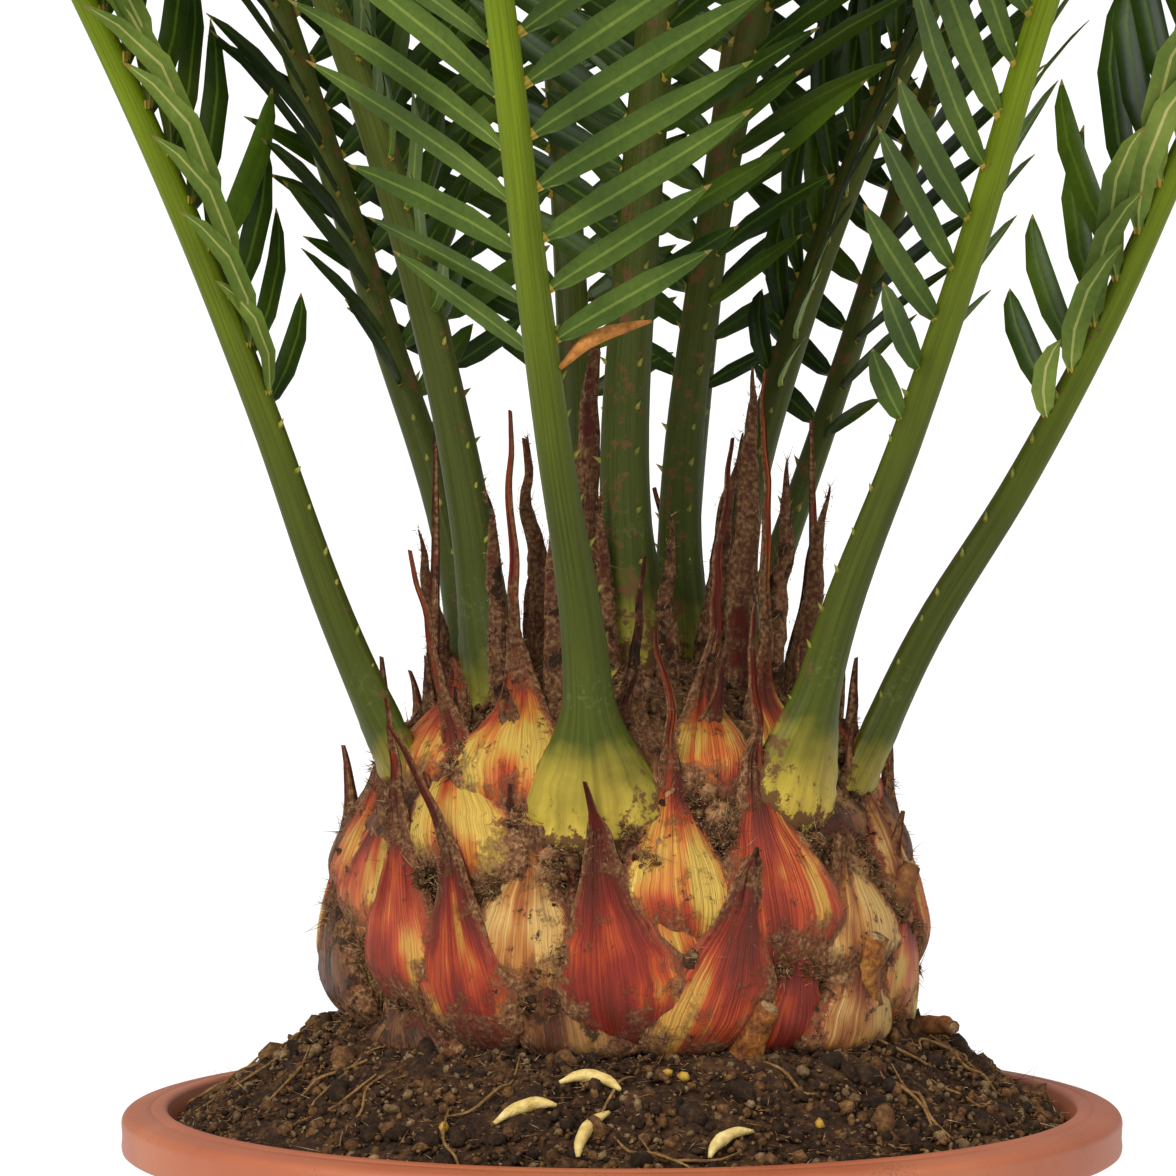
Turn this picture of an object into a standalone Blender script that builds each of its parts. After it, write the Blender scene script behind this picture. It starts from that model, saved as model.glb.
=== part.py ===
"""A potted sago palm: a squat trunk covered in pointed scales, feather fronds, and a round plastic pot.

Blender 4.5 runs it on its own. Lengths are metres and +Z is up. The origin is the centre of the pot's
flat underside, and the front of the plant faces -Y. Azimuths on the trunk count from the front,
positive towards +X. A frond's heading counts from +X, anticlockwise seen from above.
"""

import math
import random

import bmesh
import bpy
from mathutils import Matrix, Vector
from mathutils.bvhtree import BVHTree

NAME = "potted_sago_palm"
SEED = 7
GAP = 0.0003
MERGE = 0.000001

# The pot. The channel under its floor is a raised ring that the drain holes go through.
POT_HEIGHT = 0.138
POT_SIDES = 36
WALL = 0.0015
FLOOR = 0.0016
RIM_RADIUS = 0.0900
RIM_DROP = 0.0082
LIP_ROUND = 0.0022
LIP_FALL = 0.0008
LIP_EASE = 0.0012
BODY_TOP_RADIUS = 0.0830
BODY_FOOT_RADIUS = 0.0615
FOOT_EASE = 0.0011
CHANNEL_DEPTH = 0.0025
CHANNEL_INNER = 0.0385
CHANNEL_OUTER = 0.0555
CHANNEL_SLOPE = 0.0018
DRAIN_RADIUS = 0.0045
DRAIN_COUNT = 8
DRAIN_SIDES = 12
DRAIN_CUT = 0.020

# The soil. Its shoulder's points are (out from the flat top, down from it).
SOIL_RISE = 0.0150
SOIL_EDGE_DROP = 0.0035
SOIL_FLAT_RADIUS = 0.0540
SOIL_SHOULDER = ((0.006, 0.005), (0.016, 0.013))

# The trunk, from the soil to the top of its dome
GROUND = POT_HEIGHT + SOIL_RISE
TRUNK_SIDES = 20
TRUNK_CORE = (
    (0.000, 0.0455),
    (0.008, 0.0480),
    (0.018, 0.0490),
    (0.030, 0.0465),
    (0.042, 0.0415),
    (0.052, 0.0365),
    (0.060, 0.0270),
    (0.065, 0.0130),
)
TRUNK_TOP = 0.0665
TRUNK_FOOT_SPARE = 0.004

# The ribs. Shares are of a frond's length, from its foot.
RACHIS_STEPS = 13
KNEE_END = 0.10
STALK_BEND_END = 0.30
ARCH_START = 0.25
ARCH_POWER = 1.4
SWELL_END = 0.13
SWELL_POWER = 1.8
RIB_THINNING = 0.72
RIB_THIN_START = 0.10
RIB_THIN_POWER = 0.9
SOCKET_STEPS = 2
SOCKET_SLACK = 1.2 * GAP
STALK_STEPS = 4
STALK_SLACK = 2.5 * GAP

# The leaflets. Shares are of the blade, from its lowest leaflets. Their angle from the rib (degrees)
# runs from the lowest leaflets to the tip's, and the V that a pair makes opens towards the tip.
LEAF_PAIRS = 13
LEAF_LENGTH = 0.090
LEAF_WIDTH = 0.0108
LEAF_NARROWEST = 0.55
LEAF_THICKNESS = 0.0015
LEAF_THICKNESS_SHARE = 0.012
LEAF_CLEARANCE = 0.0005
LEAF_LONGEST_AT = 0.45
LEAF_FIRST_POWER = 0.9
LEAF_LAST = 0.48
LEAF_LAST_POWER = 1.8
LEAF_FORWARD = (64.0, 34.0)
LEAF_LIFT_LOSS = 0.3
LEAF_STAGGER = {-1: 0.45, 1: 0.20}
LEAF_END = 0.985
LEAF_CUTS = (1.0, 0.82, 0.66, 0.5, 0.36)

# Each frond: foot to the side, foot behind, foot height over the soil (mm), heading, lean at the foot,
# at the knee above it and further up the stalk, further bend to the tip, sideways swing (degrees),
# length, stalk radius (mm), swelling of the foot as a share of that radius, share of the length that is
# bare stalk, length of the lowest leaflets as a share of the longest, lift of the lowest leaflets into
# their V (degrees)
FROND_FIELDS = (
    "side behind height heading lean_foot lean_knee lean_stalk arch swing length"
    " radius swell bare first lift"
).split()
FRONDS = (
    (-38.6, -14.0, 46.0, 191, 25, 19.5, 24, 47, 11, 440, 3.20, 0.30, 0.155, 0.14, 40),
    (-25.6, 17.0, 55.0, 149, 8, 21, 21, 50, -3, 450, 3.05, 0.40, 0.125, 0.24, 22),
    (-22.4, -11.0, 57.0, 176, 5, 12, 21, 46, 45, 470, 3.65, 0.60, 0.145, 0.20, 24),
    (-4.9, -41.0, 37.0, 246, 2, 20, 15, 48, 7, 460, 3.30, 0.95, 0.19, 0.30, 22),
    (2.7, -9.0, 62.0, 58, -12, 6, 14, 44, 3, 510, 4.05, 0.35, 0.135, 0.24, 20),
    (10.8, 8.5, 61.0, 52, -5, 10.5, 24, 50, -10, 470, 3.30, 0.50, 0.14, 0.26, 20),
    (19.8, 21.0, 55.0, 32, -2, 18, 30, 46, 3, 440, 3.00, 0.60, 0.13, 0.16, 40),
    (17.1, 34.0, 46.0, 40, 24, 25, 22, 44, -4, 430, 2.60, 0.40, 0.14, 0.16, 24),
    (28.6, -30.5, 40.0, 332, 13, 22.5, 17.5, 49, -21, 470, 3.20, 0.80, 0.155, 0.10, 24),
    (39.6, -6.0, 39.0, 355, 21, 31.5, 23.5, 39, -17, 430, 3.15, 0.25, 0.18, 0.10, 38),
    (-22.0, 31.0, 50.0, 127, 12, 18, 24, 48, 4, 440, 3.40, 0.50, 0.15, 0.16, 24),
    (-6.0, 38.5, 46.0, 97, 12, 19, 26, 46, 4, 430, 3.40, 0.50, 0.15, 0.16, 22),
    (8.0, 39.0, 46.0, 72, 12, 18, 24, 46, -4, 440, 3.40, 0.50, 0.15, 0.16, 22),
)

# Each scale of the trunk: azimuth, height of its belly over the soil (mm), width (mm), length of its
# bulb (mm), length of its spine (mm), sideways lean of the spine (degrees, positive to its right)
FRONT_SCALES = (
    (-27, 53, 24, 26, 42, 1),
    (-44, 44, 22, 28, 30, -16),
    (-68, 31, 20, 26, 24, -6),
    (-52, 25, 21, 28, 26, 2),
    (-30, 18, 24, 34, 24, -20),
    (-4, 18, 24, 32, 18, -4),
    (14, 32, 23, 28, 26, -8),
    (33, 28, 26, 30, 40, -6),
    (17, 11, 25, 26, 18, 12),
    (-21, 27, 24, 28, 0, 0),
    (47, 8, 27, 24, 8, 18),
    (59, 25, 25, 26, 6, -4),
    (84, 26, 22, 26, 8, 22),
    (80, 8, 24, 24, 6, 10),
    (-80, 26, 22, 22, 5, -6),
    (-74, 12, 24, 26, 5, 4),
    (21, 52, 20, 22, 40, 14),
    (46, 55, 18, 20, 50, 4),
    (-66, 55, 18, 22, 26, -14),
    (-52, 6, 22, 22, 4, 0),
    (5, 47, 20, 24, 0, 0),
)
# Each row of scales round the back: height, width, length of the bulb and of the spine (mm), first
# azimuth and the step from one to the next (degrees)
BACK_ROWS = (
    (8, 27, 26, 4, 100, 32),
    (20, 28, 28, 8, 88, 34),
    (33, 27, 28, 18, 104, 31),
    (46, 23, 25, 26, 88, 36),
)
BACK_OVERRUN = 8.0
SCALE_DEPTH = 0.0056
SCALE_SINK = 0.0010
SCALE_TOP = 0.55
SCALE_SPREAD = 0.006
STEEPEST_SCALE = 34.0
SHORT_SPINE = 0.012
SPINE_WIDTH = 1.2
SPINE_CUTS = (1.0, 0.75, 0.5, 0.3, 0.15, 0.0)

# The thin pointed leaves at the trunk's centre: side, behind, reach (mm), sideways lean (degrees). They
# rise from inside the dome, and each has a profile of (height, radius) in mm before it thins.
CATAPHYLL_FOOT = 0.050
CATAPHYLL_ROOT = ((0.0, 4.4), (12.0, 4.0))
CATAPHYLL_WAIST = 2.6
CATAPHYLL_TIP = 0.5
CATAPHYLL_CUTS = (1.0, 0.75, 0.5, 0.3)
CATAPHYLLS = (
    (-15, -7, 62, -3),
    (-8, 2, 68, 2),
    (-3, 8, 50, 3),
    (-19, 4, 40, -8),
    (13, -4, 44, 8),
    (19, 6, 50, 4),
    (8, -19, 30, 0),
    (-12, 18, 42, -6),
    (14, 24, 36, 6),
)

LEAF_GREEN = (0.055, 0.150, 0.022)
TRUNK_RED = (0.420, 0.150, 0.070)
SOIL_BROWN = (0.045, 0.028, 0.018)
POT_TERRACOTTA = (0.480, 0.130, 0.065)


def clear_scene():
    """Removes whatever the file holds."""
    for found in list(bpy.data.objects):
        bpy.data.objects.remove(found, do_unlink=True)


def new_collection(name):
    made = bpy.data.collections.new(name)
    bpy.context.scene.collection.children.link(made)
    return made


def new_material(name, colour, roughness):
    made = bpy.data.materials.new(name)
    made.use_nodes = True
    shader = made.node_tree.nodes["Principled BSDF"]
    shader.inputs["Base Color"].default_value = (*colour, 1.0)
    shader.inputs["Roughness"].default_value = roughness
    shader.inputs["Metallic"].default_value = 0.0
    return made


def new_object(name, mesh, collection):
    made = bpy.data.objects.new(name, mesh)
    collection.objects.link(made)
    return made


def as_cutter(made):
    """A shape that only cuts or joins another isn't part of the model."""
    made.hide_render = True
    made.display_type = "WIRE"
    return made


def turned(name, profile, sides, collection):
    """A round shape from a profile of (radius, height) that runs down its outer side."""
    mesh = bpy.data.meshes.new(name)
    shape = bmesh.new()
    points = [shape.verts.new((radius, 0.0, height)) for radius, height in profile]
    for upper, lower in zip(points, points[1:]):
        shape.edges.new((upper, lower))
    shape.to_mesh(mesh)
    shape.free()
    made = new_object(name, mesh, collection)
    screw = made.modifiers.new("Turn", "SCREW")
    screw.axis = "Z"
    screw.angle = 2.0 * math.pi
    screw.steps = sides
    screw.render_steps = sides
    screw.use_merge_vertices = True
    screw.merge_threshold = 0.00001
    return made


def tapered_tube(name, points, radii, resolution):
    """The mesh of a closed tube along points. It has 4 + 2 x resolution sides."""
    curve = bpy.data.curves.new(name, "CURVE")
    curve.dimensions = "3D"
    curve.fill_mode = "FULL"
    curve.bevel_depth = 1.0
    curve.bevel_resolution = resolution
    curve.use_fill_caps = True
    spline = curve.splines.new("POLY")
    spline.points.add(len(points) - 1)
    for knot, place, radius in zip(spline.points, points, radii):
        knot.co = (*place, 1.0)
        knot.radius = radius
    guide = bpy.data.objects.new(name, curve)
    bpy.context.scene.collection.objects.link(guide)
    bpy.context.view_layer.update()
    seen = guide.evaluated_get(bpy.context.evaluated_depsgraph_get())
    mesh = bpy.data.meshes.new_from_object(seen)
    bpy.data.objects.remove(guide, do_unlink=True)
    bpy.data.curves.remove(curve)
    shape = bmesh.new()
    shape.from_mesh(mesh)
    bmesh.ops.remove_doubles(shape, verts=shape.verts, dist=MERGE)
    bmesh.ops.recalc_face_normals(shape, faces=shape.faces)
    shape.to_mesh(mesh)
    shape.free()
    return mesh


def islands(shape):
    """The connected groups of faces of a bmesh."""
    left = set(shape.faces)
    groups = []
    while left:
        group = set()
        border = [next(iter(left))]
        while border:
            face = border.pop()
            if face in group:
                continue
            group.add(face)
            border.extend(n for e in face.edges for n in e.link_faces if n not in group)
        left -= group
        groups.append(group)
    return groups


def tidied(mesh):
    """Keeps the largest body of a mesh: a scrap that was cut loose or a sealed hollow goes. Says
    whether what is left is closed."""
    shape = bmesh.new()
    shape.from_mesh(mesh)
    bmesh.ops.triangulate(shape, faces=shape.faces)
    bmesh.ops.remove_doubles(shape, verts=shape.verts, dist=MERGE)
    groups = sorted(islands(shape), key=len)
    scraps = [face for group in groups[:-1] for face in group]
    bmesh.ops.delete(shape, geom=scraps, context="FACES")
    closed = all(edge.is_manifold for edge in shape.edges)
    shape.to_mesh(mesh)
    shape.free()
    return closed


def combine(made, collection, operation):
    """Joins made with, or cuts it by, every object of a collection, and removes those objects."""
    boolean = made.modifiers.new("Combine", "BOOLEAN")
    boolean.operation = operation
    boolean.operand_type = "COLLECTION"
    boolean.collection = collection
    for solver in ("EXACT", "MANIFOLD"):
        boolean.solver = solver
        bpy.context.view_layer.update()
        seen = made.evaluated_get(bpy.context.evaluated_depsgraph_get())
        result = bpy.data.meshes.new_from_object(seen)
        if tidied(result):
            break
        print(made.name, "isn't closed after", solver)
    made.modifiers.clear()
    made.data = result
    for used in list(collection.objects):
        bpy.data.objects.remove(used, do_unlink=True)
    bpy.data.collections.remove(collection)


def wall_radius(height):
    """The pot's inner radius at a height over the floor's top."""
    top = BODY_TOP_RADIUS - WALL
    foot = BODY_FOOT_RADIUS - WALL
    return foot + (top - foot) * (height - FLOOR) / (POT_HEIGHT - FLOOR)


def make_pot(parts):
    """A thin tapered pot: a lip that turns down outside, a foot ring, and holes in a raised channel."""
    lip = POT_HEIGHT
    under = lip - LIP_FALL - WALL
    raised = CHANNEL_DEPTH + FLOOR
    profile = (
        (0.0, FLOOR),
        (CHANNEL_INNER - CHANNEL_SLOPE, FLOOR),
        (CHANNEL_INNER, raised),
        (CHANNEL_OUTER, raised),
        (CHANNEL_OUTER + CHANNEL_SLOPE, FLOOR),
        (wall_radius(FLOOR), FLOOR),
        (wall_radius(lip - LIP_EASE), lip - LIP_EASE),
        (wall_radius(lip) + LIP_EASE, lip),
        (RIM_RADIUS - LIP_ROUND, lip - LIP_FALL),
        (RIM_RADIUS, lip - LIP_FALL - LIP_ROUND),
        (RIM_RADIUS, lip - RIM_DROP),
        (RIM_RADIUS - WALL, lip - RIM_DROP),
        (RIM_RADIUS - WALL, under - LIP_EASE),
        (BODY_TOP_RADIUS + LIP_EASE / 2.0, under),
        (BODY_TOP_RADIUS, under - 2.0 * LIP_EASE),
        (BODY_FOOT_RADIUS, FOOT_EASE),
        (BODY_FOOT_RADIUS - FOOT_EASE, 0.0),
        (CHANNEL_OUTER + CHANNEL_SLOPE, 0.0),
        (CHANNEL_OUTER, CHANNEL_DEPTH),
        (CHANNEL_INNER, CHANNEL_DEPTH),
        (CHANNEL_INNER - CHANNEL_SLOPE, 0.0),
        (0.0, 0.0),
    )
    pot = turned("pot", profile, POT_SIDES, parts)
    drains = new_collection("drains")
    ring = (CHANNEL_INNER + CHANNEL_OUTER) / 2.0
    for count in range(DRAIN_COUNT):
        angle = 2.0 * math.pi * count / DRAIN_COUNT
        place = Matrix.Translation((ring * math.cos(angle), ring * math.sin(angle), 0.0))
        shape = bmesh.new()
        bmesh.ops.create_cone(
            shape,
            cap_ends=True,
            segments=DRAIN_SIDES,
            radius1=DRAIN_RADIUS,
            radius2=DRAIN_RADIUS,
            depth=DRAIN_CUT,
            matrix=place,
        )
        mesh = bpy.data.meshes.new("drain")
        shape.to_mesh(mesh)
        shape.free()
        as_cutter(new_object("drain", mesh, drains))
    combine(pot, drains, "DIFFERENCE")
    pot.data.materials.append(new_material("moulded_terracotta_plastic", POT_TERRACOTTA, 0.5))
    return pot


def make_soil(parts):
    """Potting soil that fills the pot and rises in a low mound to the trunk's foot."""
    floor = FLOOR + CHANNEL_DEPTH + GAP
    edge = POT_HEIGHT - SOIL_EDGE_DROP
    shoulder = [(SOIL_FLAT_RADIUS + out, GROUND - down) for out, down in SOIL_SHOULDER]
    profile = (
        (0.0, GROUND),
        (SOIL_FLAT_RADIUS, GROUND),
        *shoulder,
        (wall_radius(edge) - GAP, edge),
        (wall_radius(floor) - GAP, floor),
        (0.0, floor),
    )
    soil = turned("soil", profile, POT_SIDES, parts)
    soil.data.materials.append(new_material("potting_soil", SOIL_BROWN, 0.95))
    return soil


def core_radius(height):
    """The trunk core's radius at a height over the soil."""
    if height <= 0.0:
        return TRUNK_CORE[0][1]
    for (low, wide), (high, narrow) in zip(TRUNK_CORE, TRUNK_CORE[1:]):
        if height <= high:
            return wide + (narrow - wide) * (height - low) / (high - low)
    return TRUNK_CORE[-1][1] * max(0.0, (TRUNK_TOP - height) / (TRUNK_TOP - TRUNK_CORE[-1][0]))


def on_trunk(azimuth, height, outward=0.0):
    """A point at an azimuth (degrees) and height on the trunk's core, or further out."""
    angle = math.radians(azimuth)
    radius = core_radius(height) + outward
    return Vector((radius * math.sin(angle), -radius * math.cos(angle), GROUND + height))


def smooth(share):
    share = min(1.0, max(0.0, share))
    return share * share * (3.0 - 2.0 * share)


def past(share, start):
    """How far a share has gone from a start to 1, and 0 before that start."""
    return max(0.0, (share - start) / (1.0 - start))


def between(ends, share):
    return ends[0] + (ends[1] - ends[0]) * share


def frond_route(frond):
    """Points along a frond from its foot to its tip. It leans out, then arches over to the tip."""
    length = frond["length"] * 0.001
    place = Vector((frond["side"], frond["behind"], frond["height"])) * 0.001
    place.z += GROUND
    step = length / RACHIS_STEPS
    points = [place.copy()]
    for count in range(RACHIS_STEPS):
        share = (count + 0.5) / RACHIS_STEPS
        lean = between((frond["lean_foot"], frond["lean_knee"]), smooth(share / KNEE_END))
        bent = smooth((share - KNEE_END) / (STALK_BEND_END - KNEE_END))
        lean += (frond["lean_stalk"] - frond["lean_knee"]) * bent
        lean += frond["arch"] * past(share, ARCH_START) ** ARCH_POWER
        heading = frond["heading"] + frond["swing"] * share * share
        lean = math.radians(lean)
        heading = math.radians(heading)
        way = Vector(
            (
                math.sin(lean) * math.cos(heading),
                math.sin(lean) * math.sin(heading),
                math.cos(lean),
            )
        )
        place = place + way * step
        points.append(place.copy())
    return points


def frond_radius(frond, share):
    """A swollen foot, a stalk that keeps its width, and a rib that thins to the tip."""
    foot = frond["swell"] * max(0.0, 1.0 - share / SWELL_END) ** SWELL_POWER
    thin = 1.0 - RIB_THINNING * past(share, RIB_THIN_START) ** RIB_THIN_POWER
    return frond["radius"] * 0.001 * (thin + foot)


def along(points, share):
    """The place and direction at a share of a route of even steps."""
    reach = min(max(share, 0.0), 0.999999) * (len(points) - 1)
    index = int(reach)
    first = points[index]
    second = points[index + 1]
    return first.lerp(second, reach - index), (second - first).normalized()


def leaf_length(share, first):
    """The leaflets' length along the blade: short at the foot, longest before the middle."""
    if share < LEAF_LONGEST_AT:
        grown = (share / LEAF_LONGEST_AT) ** LEAF_FIRST_POWER
        return LEAF_LENGTH * between((first, 1.0), grown)
    return LEAF_LENGTH * between((1.0, LEAF_LAST), past(share, LEAF_LONGEST_AT) ** LEAF_LAST_POWER)


def leaflet(place, way, side, upper, share, lift, size, grow=0.0):
    """The bmesh of one leaflet: a flat four-sided spike that leaves the rib in a shallow V."""
    forward = math.radians(between(LEAF_FORWARD, share))
    lift = math.radians(lift * (1.0 - LEAF_LIFT_LOSS * share))
    outward = side * math.cos(lift) + upper * math.sin(lift)
    axis = (way * math.cos(forward) + outward * math.sin(forward)).normalized()
    across = (way - axis * way.dot(axis)).normalized()
    normal = axis.cross(across)
    length = size + grow
    width = LEAF_WIDTH * between((LEAF_NARROWEST, 1.0), size / LEAF_LENGTH) + 2.0 * grow
    thickness = max(LEAF_THICKNESS, size * LEAF_THICKNESS_SHARE) + 2.0 * grow
    frame = Matrix((across, normal, axis)).transposed().to_4x4()
    stretch = Matrix.Diagonal((width / 2.0, thickness / 2.0, length, 1.0))
    shape = bmesh.new()
    bmesh.ops.create_cone(
        shape,
        cap_ends=True,
        segments=4,
        radius1=1.0,
        radius2=0.0,
        depth=1.0,
        matrix=Matrix.Translation(place) @ frame @ stretch @ Matrix.Translation((0, 0, 0.5)),
    )
    return shape


def triangles(source):
    """The corners and triangles of a bmesh or a mesh, for a test of what touches what."""
    shape = source
    if not isinstance(source, bmesh.types.BMesh):
        shape = bmesh.new()
        shape.from_mesh(source)
    shape.verts.ensure_lookup_table()
    shape.verts.index_update()
    corners = [v.co.copy() for v in shape.verts]
    faces = []
    for face in shape.faces:
        ring = [v.index for v in face.verts]
        faces.extend((ring[0], ring[i], ring[i + 1]) for i in range(1, len(ring) - 1))
    if shape is not source:
        shape.free()
    return corners, faces


def tree_of(pieces):
    """One search tree over several (corners, triangles)."""
    corners = []
    faces = []
    for points, indices in pieces:
        start = len(corners)
        corners.extend(points)
        faces.extend(tuple(i + start for i in face) for face in indices)
    return BVHTree.FromPolygons(corners, faces, epsilon=0.0)


def touches(shape, tree):
    corners, faces = triangles(shape)
    return bool(BVHTree.FromPolygons(corners, faces, epsilon=0.0).overlap(tree))


def place_leaflets(fronds, fixed):
    """Sizes every leaflet, pair by pair round the crown. One that would touch another frond or the
    trunk is shortened, and left out if that isn't enough."""
    taken = {name: [] for name in fronds}
    chosen = {name: [] for name in fronds}
    for count in range(LEAF_PAIRS):
        for name, frond in fronds.items():
            others = [
                piece
                for other in fronds
                if other != name
                for piece in [fixed[other], *taken[other]]
            ]
            tree = tree_of([fixed["trunk"], *others])
            for hand in (-1, 1):
                blade = (count + LEAF_STAGGER[hand]) / LEAF_PAIRS
                share = between((frond["bare"], LEAF_END), blade)
                place, way = along(frond["route"], share)
                flat = Vector((way.x, way.y, 0.0)).normalized()
                side = flat.cross(Vector((0, 0, 1))).normalized() * hand
                upper = side.cross(way) * hand
                rule = (place, way, side, upper, blade, frond["lift"])
                for cut in LEAF_CUTS:
                    size = leaf_length(blade, frond["first"]) * cut
                    shape = leaflet(*rule, size, LEAF_CLEARANCE)
                    clash = touches(shape, tree)
                    shape.free()
                    if not clash:
                        found = leaflet(*rule, size)
                        taken[name].append(triangles(found))
                        chosen[name].append(found)
                        break
    return chosen


def make_frond(name, frond, leaflets, parts, green):
    """One rib with its leaflets joined on."""
    made = new_object(name, frond["mesh"], parts)
    blades = new_collection(name + "_leaflets")
    for shape in leaflets:
        mesh = bpy.data.meshes.new("leaflet")
        shape.to_mesh(mesh)
        shape.free()
        as_cutter(new_object("leaflet", mesh, blades))
    combine(made, blades, "UNION")
    made.data.materials.clear()
    made.data.materials.append(green)
    return made


def scale_mesh(width, bulb, spine, sway):
    """One scale, upright at the origin with its face to -Y: a bulb that narrows into a spine. Each of
    its rows has a height, a depth and a share of the full depth as its radius."""
    top = bulb * SCALE_TOP
    wide = width / 2.0 / SCALE_DEPTH
    rows = [
        (-0.45 * bulb, 0.0012, 0.34),
        (-0.24 * bulb, -0.0010, 0.92),
        (0.10 * bulb, -0.0010, 0.92),
        (0.36 * bulb, 0.0006, 0.52),
        (top, 0.0012, 0.26),
    ]
    if spine > SHORT_SPINE:
        rows.append((top + 0.45 * spine, 0.0002, 0.17))
    if spine > 0.0:
        rows.append((top + spine, -0.0010, 0.06))
    points = [Vector((0.0, depth, height)) for height, depth, share in rows]
    mesh = tapered_tube("scale", points, [SCALE_DEPTH * share for _, _, share in rows], 1)
    for corner in mesh.vertices:
        height = corner.co.z
        above = smooth((height - top) / max(spine, 0.001))
        corner.co.x *= between((wide, SPINE_WIDTH), above)
        if height > 0.0:
            corner.co.x += math.tan(math.radians(sway)) * height * height / (top + spine)
    return mesh


def scale_placed(azimuth, height, mesh):
    """Stands a scale on the trunk, leaned in as the trunk narrows above it."""
    low = core_radius(height - SCALE_SPREAD)
    high = core_radius(height + SCALE_SPREAD)
    lean = min(math.atan2(low - high, 2.0 * SCALE_SPREAD), math.radians(STEEPEST_SCALE))
    turn = Matrix.Rotation(math.radians(azimuth), 4, "Z") @ Matrix.Rotation(-lean, 4, "X")
    mesh.transform(Matrix.Translation(on_trunk(azimuth, height, -SCALE_SINK)) @ turn)
    return mesh


def all_scales():
    """The scales as seen from the front, then rows of like ones round the back, a little uneven."""
    dice = random.Random(SEED)
    rows = list(FRONT_SCALES)
    for height, width, bulb, spine, start, step in BACK_ROWS:
        azimuth = start
        while azimuth < 360.0 - start + BACK_OVERRUN:
            rows.append(
                (
                    azimuth + dice.uniform(-4.0, 4.0),
                    height + dice.uniform(-2.0, 2.0),
                    width * dice.uniform(0.9, 1.08),
                    bulb,
                    spine * dice.uniform(0.6, 1.3),
                    dice.uniform(-10.0, 10.0),
                )
            )
            azimuth += step
    return rows


def cataphyll_mesh(side, behind, reach, sway):
    """One thin pointed leaf from inside the dome up."""
    foot = Vector((side * 0.001, behind * 0.001, GROUND + CATAPHYLL_FOOT))
    bend = math.tan(math.radians(sway)) * 0.001
    base = CATAPHYLL_ROOT[-1][0]
    rows = (*CATAPHYLL_ROOT, (base + 0.5 * reach, CATAPHYLL_WAIST), (base + reach, CATAPHYLL_TIP))
    points = [foot + Vector((bend * rise, 0.0, rise * 0.001)) for rise, _ in rows]
    return tapered_tube("cataphyll", points, [thick * 0.001 for _, thick in rows], 1)


def make_trunk(fronds, parts):
    """A domed core, its scales and the thin leaves at its centre in one solid, with a socket for
    each frond's foot and a flat cut at the soil."""
    profile = [(0.0, GROUND + TRUNK_TOP)]
    profile += [(radius, GROUND + height) for height, radius in reversed(TRUNK_CORE)]
    profile.append((TRUNK_CORE[0][1], GROUND - TRUNK_FOOT_SPARE))
    profile.append((0.0, GROUND - TRUNK_FOOT_SPARE))
    trunk = turned("trunk", profile, TRUNK_SIDES, parts)
    stalks = tree_of([triangles(frond["thick"]) for frond in fronds.values()])
    scales = new_collection("scales")
    for azimuth, height, width, bulb, spine, sway in all_scales():
        bulb_top = GROUND + (height + SCALE_TOP * bulb) * 0.001
        for cut in SPINE_CUTS:
            mesh = scale_mesh(width * 0.001, bulb * 0.001, spine * cut * 0.001, sway)
            mesh = scale_placed(azimuth, height * 0.001, mesh)
            if not touches_above(mesh, stalks, bulb_top):
                break
        as_cutter(new_object("scale", mesh, scales))
    for side, behind, reach, sway in CATAPHYLLS:
        for cut in CATAPHYLL_CUTS:
            mesh = cataphyll_mesh(side, behind, reach * cut, sway)
            if not touches(mesh, stalks):
                as_cutter(new_object("cataphyll", mesh, scales))
                break
    combine(trunk, scales, "UNION")
    sockets = new_collection("sockets")
    for frond in fronds.values():
        as_cutter(new_object("socket", frond["socket"], sockets))
    shape = bmesh.new()
    block = POT_HEIGHT
    below = Matrix.Translation((0.0, 0.0, GROUND + GAP - block / 2.0))
    bmesh.ops.create_cube(shape, size=block, matrix=below)
    mesh = bpy.data.meshes.new("below")
    shape.to_mesh(mesh)
    shape.free()
    as_cutter(new_object("below", mesh, sockets))
    combine(trunk, sockets, "DIFFERENCE")
    trunk.data.materials.clear()
    trunk.data.materials.append(new_material("sago_scales", TRUNK_RED, 0.6))
    return trunk


def touches_above(mesh, tree, height):
    """Whether the part of a mesh over a height touches a tree."""
    corners, faces = triangles(mesh)
    high = [face for face in faces if max(corners[i].z for i in face) > height]
    if not high:
        return False
    return bool(BVHTree.FromPolygons(corners, high, epsilon=0.0).overlap(tree))


def frond_sizes():
    """Each frond's named sizes, its route, its rib's mesh, and the socket that its foot needs."""
    fronds = {}
    for number, row in enumerate(FRONDS, start=1):
        frond = dict(zip(FROND_FIELDS, row))
        route = frond_route(frond)
        shares = [count / RACHIS_STEPS for count in range(RACHIS_STEPS + 1)]
        radii = [frond_radius(frond, share) for share in shares]
        frond["route"] = route
        frond["mesh"] = tapered_tube("rib", route, radii, 1)
        first = (route[1] - route[0]).normalized()
        socket = [route[0] - first * GAP, *route[1 : SOCKET_STEPS + 1]]
        wide = [radius + SOCKET_SLACK for radius in radii]
        frond["socket"] = tapered_tube("socket", socket, wide, 1)
        thick = [radius + STALK_SLACK for radius in radii]
        frond["thick"] = tapered_tube("stalk", route[: STALK_STEPS + 1], thick, 1)
        fronds[f"frond_{number:02d}"] = frond
    return fronds


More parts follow.
